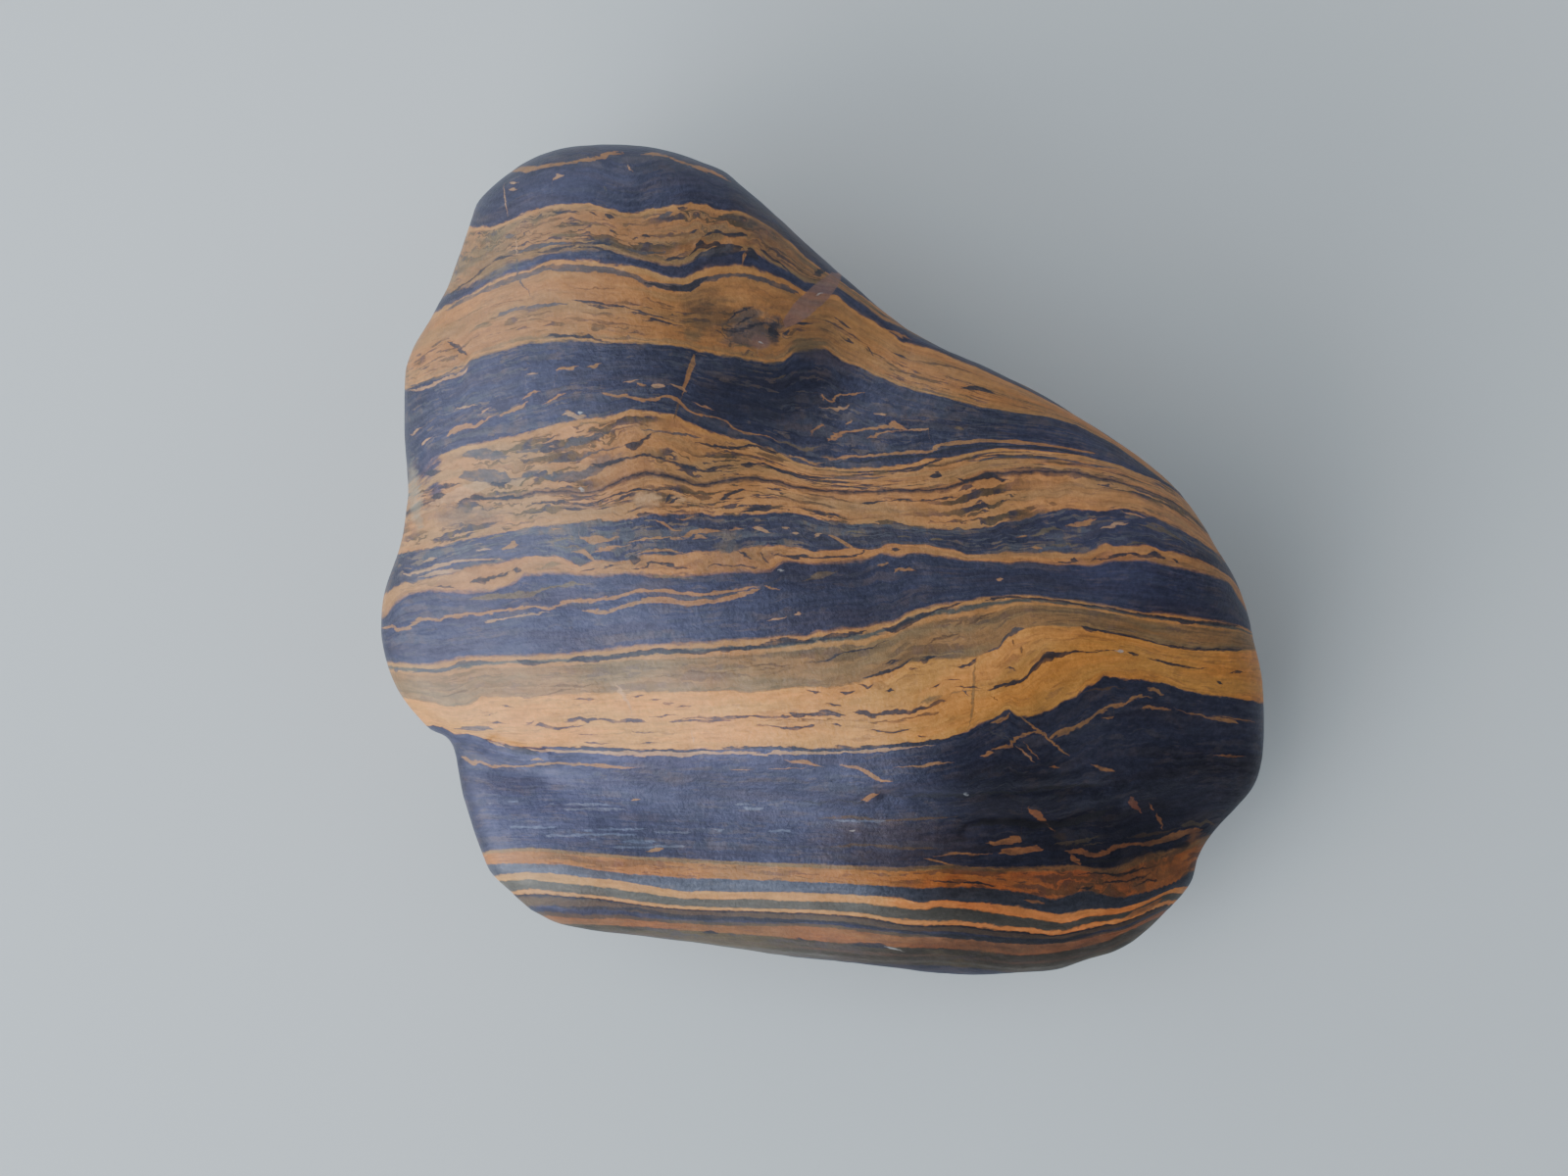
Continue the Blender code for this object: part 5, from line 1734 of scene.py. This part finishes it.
def lay_marks(wires, colour, iron):
    """Patches, streaks and veins laid over the beds, tone after tone; among them are painted
    highlights and some patches of painted shade. Gives the colour and the share of iron."""
    ragged = wires.times(wires.quick, PATCH_FRAY)
    worn = wires.between(wires.quick, *MARKS_WORN)
    for tone, (tint, sheen, full) in TONES.items():
        shares = []
        for kind, table, along, across, measure in (
            ("streaks", STREAKS, wires.right, wires.ragged, streak_measure),
            ("veins", VEINS, wires.up, wires.right, vein_measure),
        ):
            if tone in table:
                tree = marks_group(f"{tone} {kind}", table[tone], measure)
                inside = wires.group(tree, {"Along": along, "Across": across})
                inside = wires.between(inside, *MARK_EDGES)
                shares.append(wires.times(inside, wires.times(worn, full)))
        shares += wires.patches(ragged, [spot for name, *spot in PATCHES if name == tone])
        share = wires.times(wires.largest(shares), wires.shown)
        colour = wires.mix(share, colour, tint)
        iron = wires.toward(share, iron, sheen)
    return colour, iron


def paint_shade_and_light(wires, colour, gloss):
    """Painted shade and light: darkens, lightens and deepens the colour of places, and makes the
    darkened ones rougher. Gives the colour and the roughness.
    """
    # painted shade and painted light, each a multiplier over its patches
    for painted_multiplier, rougher, spots in PAINTED_SHADE_AND_LIGHT:
        share = wires.times(wires.largest(wires.patches(wires.quick, spots)), wires.shown)
        colour = wires.mix(share, colour, painted_multiplier, "MULTIPLY")
        gloss = wires.math("MULTIPLY_ADD", share, rougher, gloss)
    # painted shade: the colour deepened and darkened where the stone turns from the light
    share = wires.times(wires.largest(wires.patches(wires.quick, SHADE_DEEPENED)), wires.shown)
    deep = wires.mix(1.0, colour, colour, "MULTIPLY")
    deep = wires.mix(1.0, deep, (SHADE_DEEPNESS, SHADE_DEEPNESS, SHADE_DEEPNESS), "MULTIPLY")
    return wires.mix(share, colour, deep), gloss


def shade(wires, fine, grain, colour, iron):
    """The colour made lighter and darker by fine bedding, broad swirls and specks."""
    speckle = wires.times(wires.between(grain, *SPECKLE), wires.between(iron, *SPECKLE_DEPTH))
    tone = wires.times(wires.between(fine, *FINE_TONE), wires.between(wires.swirl, *SWIRL_TONE))
    tone = wires.times(tone, wires.math("ADD", speckle, 1.0))
    grey = wires.place("ShaderNodeCombineColor", {part: tone for part in range(3)}).outputs[0]
    return wires.mix(1.0, colour, grey, "MULTIPLY")


def banded_ironstone():
    """The stone's one material: beds made ragged by noise, their laminae, dashes and clouds,
    the traced marks over them, painted highlights, painted shade and light, and the iron's sheen."""
    material = bpy.data.materials.new("banded ironstone")
    material.use_nodes = True
    wires = StoneWires(material.node_tree)
    colour, _ = bed_ramp(wires, wires.ragged, lambda rock: (*ROCKS[rock][0], 1.0))
    traits, iron = bed_ramp(wires, wires.ragged, lambda rock: ROCKS[rock][1:5])
    broad, colour, iron = lay_laminae(wires, traits, colour, iron)
    colour, iron = lay_marks(wires, colour, iron)
    tint = wires.mix(wires.between(broad, *TINTED), *TINTS)
    colour = wires.mix(1.0, colour, tint, "MULTIPLY")
    colour, gloss = paint_shade_and_light(wires, colour, wires.between(iron, 0.0, 1.0, *ROUGHNESS))
    fine = wires.bedded("fine", wires.level)
    grain = wires.even_noise(wires.plan, *GRAIN)
    height = wires.math("MULTIPLY_ADD", fine, FINE_BUMP, wires.times(grain, GRAIN_BUMP))
    bump = wires.place("ShaderNodeBump", {"Strength": 1.0, "Distance": BUMP, "Height": height})
    for name, value in (
        ("Base Color", shade(wires, fine, grain, colour, iron)),
        ("Metallic", wires.times(iron, IRON_SHEEN)),
        ("Roughness", wires.math("MULTIPLY_ADD", grain, GRAIN_ROUGHNESS, gloss)),
        ("Normal", bump.outputs[0]),
    ):
        wires.feed(wires.tree.nodes["Principled BSDF"].inputs[name], value)
    return material


def pale_floor():
    material = bpy.data.materials.new("pale floor")
    material.use_nodes = True
    shader = material.node_tree.nodes["Principled BSDF"]
    shader.inputs["Base Color"].default_value = (*FLOOR_COLOUR, 1.0)
    shader.inputs["Roughness"].default_value = FLOOR_ROUGHNESS
    return material


def make_floor():
    """A plain pale sheet under the stone."""
    mesh = bpy.data.meshes.new("floor")
    corners = FLOOR_REACH * np.array([(-1, -1, 0), (1, -1, 0), (1, 1, 0), (-1, 1, 0)])
    mesh.from_pydata(corners.tolist(), [], [(0, 1, 2, 3)])
    mesh.materials.append(pale_floor())
    floor = bpy.data.objects.new("floor", mesh)
    bpy.context.scene.collection.objects.link(floor)


def soft_light(name, azimuth, height, power):
    """A square soft light that faces the stone from the given way."""
    azimuth, height = np.radians(azimuth), np.radians(height)
    lamp = bpy.data.lights.new(name, "AREA")
    lamp.size = LIGHT_SIZE
    lamp.energy = power
    lamp.color = DAYLIGHT
    light = bpy.data.objects.new(name, lamp)
    light.location = (
        LIGHT_DISTANCE * np.cos(azimuth) * np.cos(height),
        LIGHT_DISTANCE * np.sin(azimuth) * np.cos(height),
        LIGHT_DISTANCE * np.sin(height),
    )
    light.rotation_euler = light.location.to_track_quat("Z", "Y").to_euler()
    bpy.context.scene.collection.objects.link(light)


def make_light():
    """A long low window on the left, made of five panes, weaker light from above and from
    the other sides, and an even pale sky."""
    for name, (azimuth, height, power) in LIGHTS.items():
        soft_light(name, azimuth, height, power)
    world = bpy.data.worlds.new("pale sky")
    world.use_nodes = True
    sky = world.node_tree.nodes["Background"]
    sky.inputs["Color"].default_value = (*DAYLIGHT, 1.0)
    sky.inputs["Strength"].default_value = SKY_STRENGTH
    bpy.context.scene.world = world


def make_camera():
    """Looks straight down, as the photograph does."""
    camera = bpy.data.cameras.new("camera")
    camera.lens = LENS
    camera.sensor_width = SENSOR
    eye = bpy.data.objects.new("camera", camera)
    eye.location = [part * MM for part in camera_place()]
    bpy.context.scene.collection.objects.link(eye)
    bpy.context.scene.camera = eye


def main():
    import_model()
    stone = make_stone()
    stone.data.materials.append(banded_ironstone())
    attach(stone, "root")
    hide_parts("stone")
    make_floor()
    make_light()
    make_camera()


main()
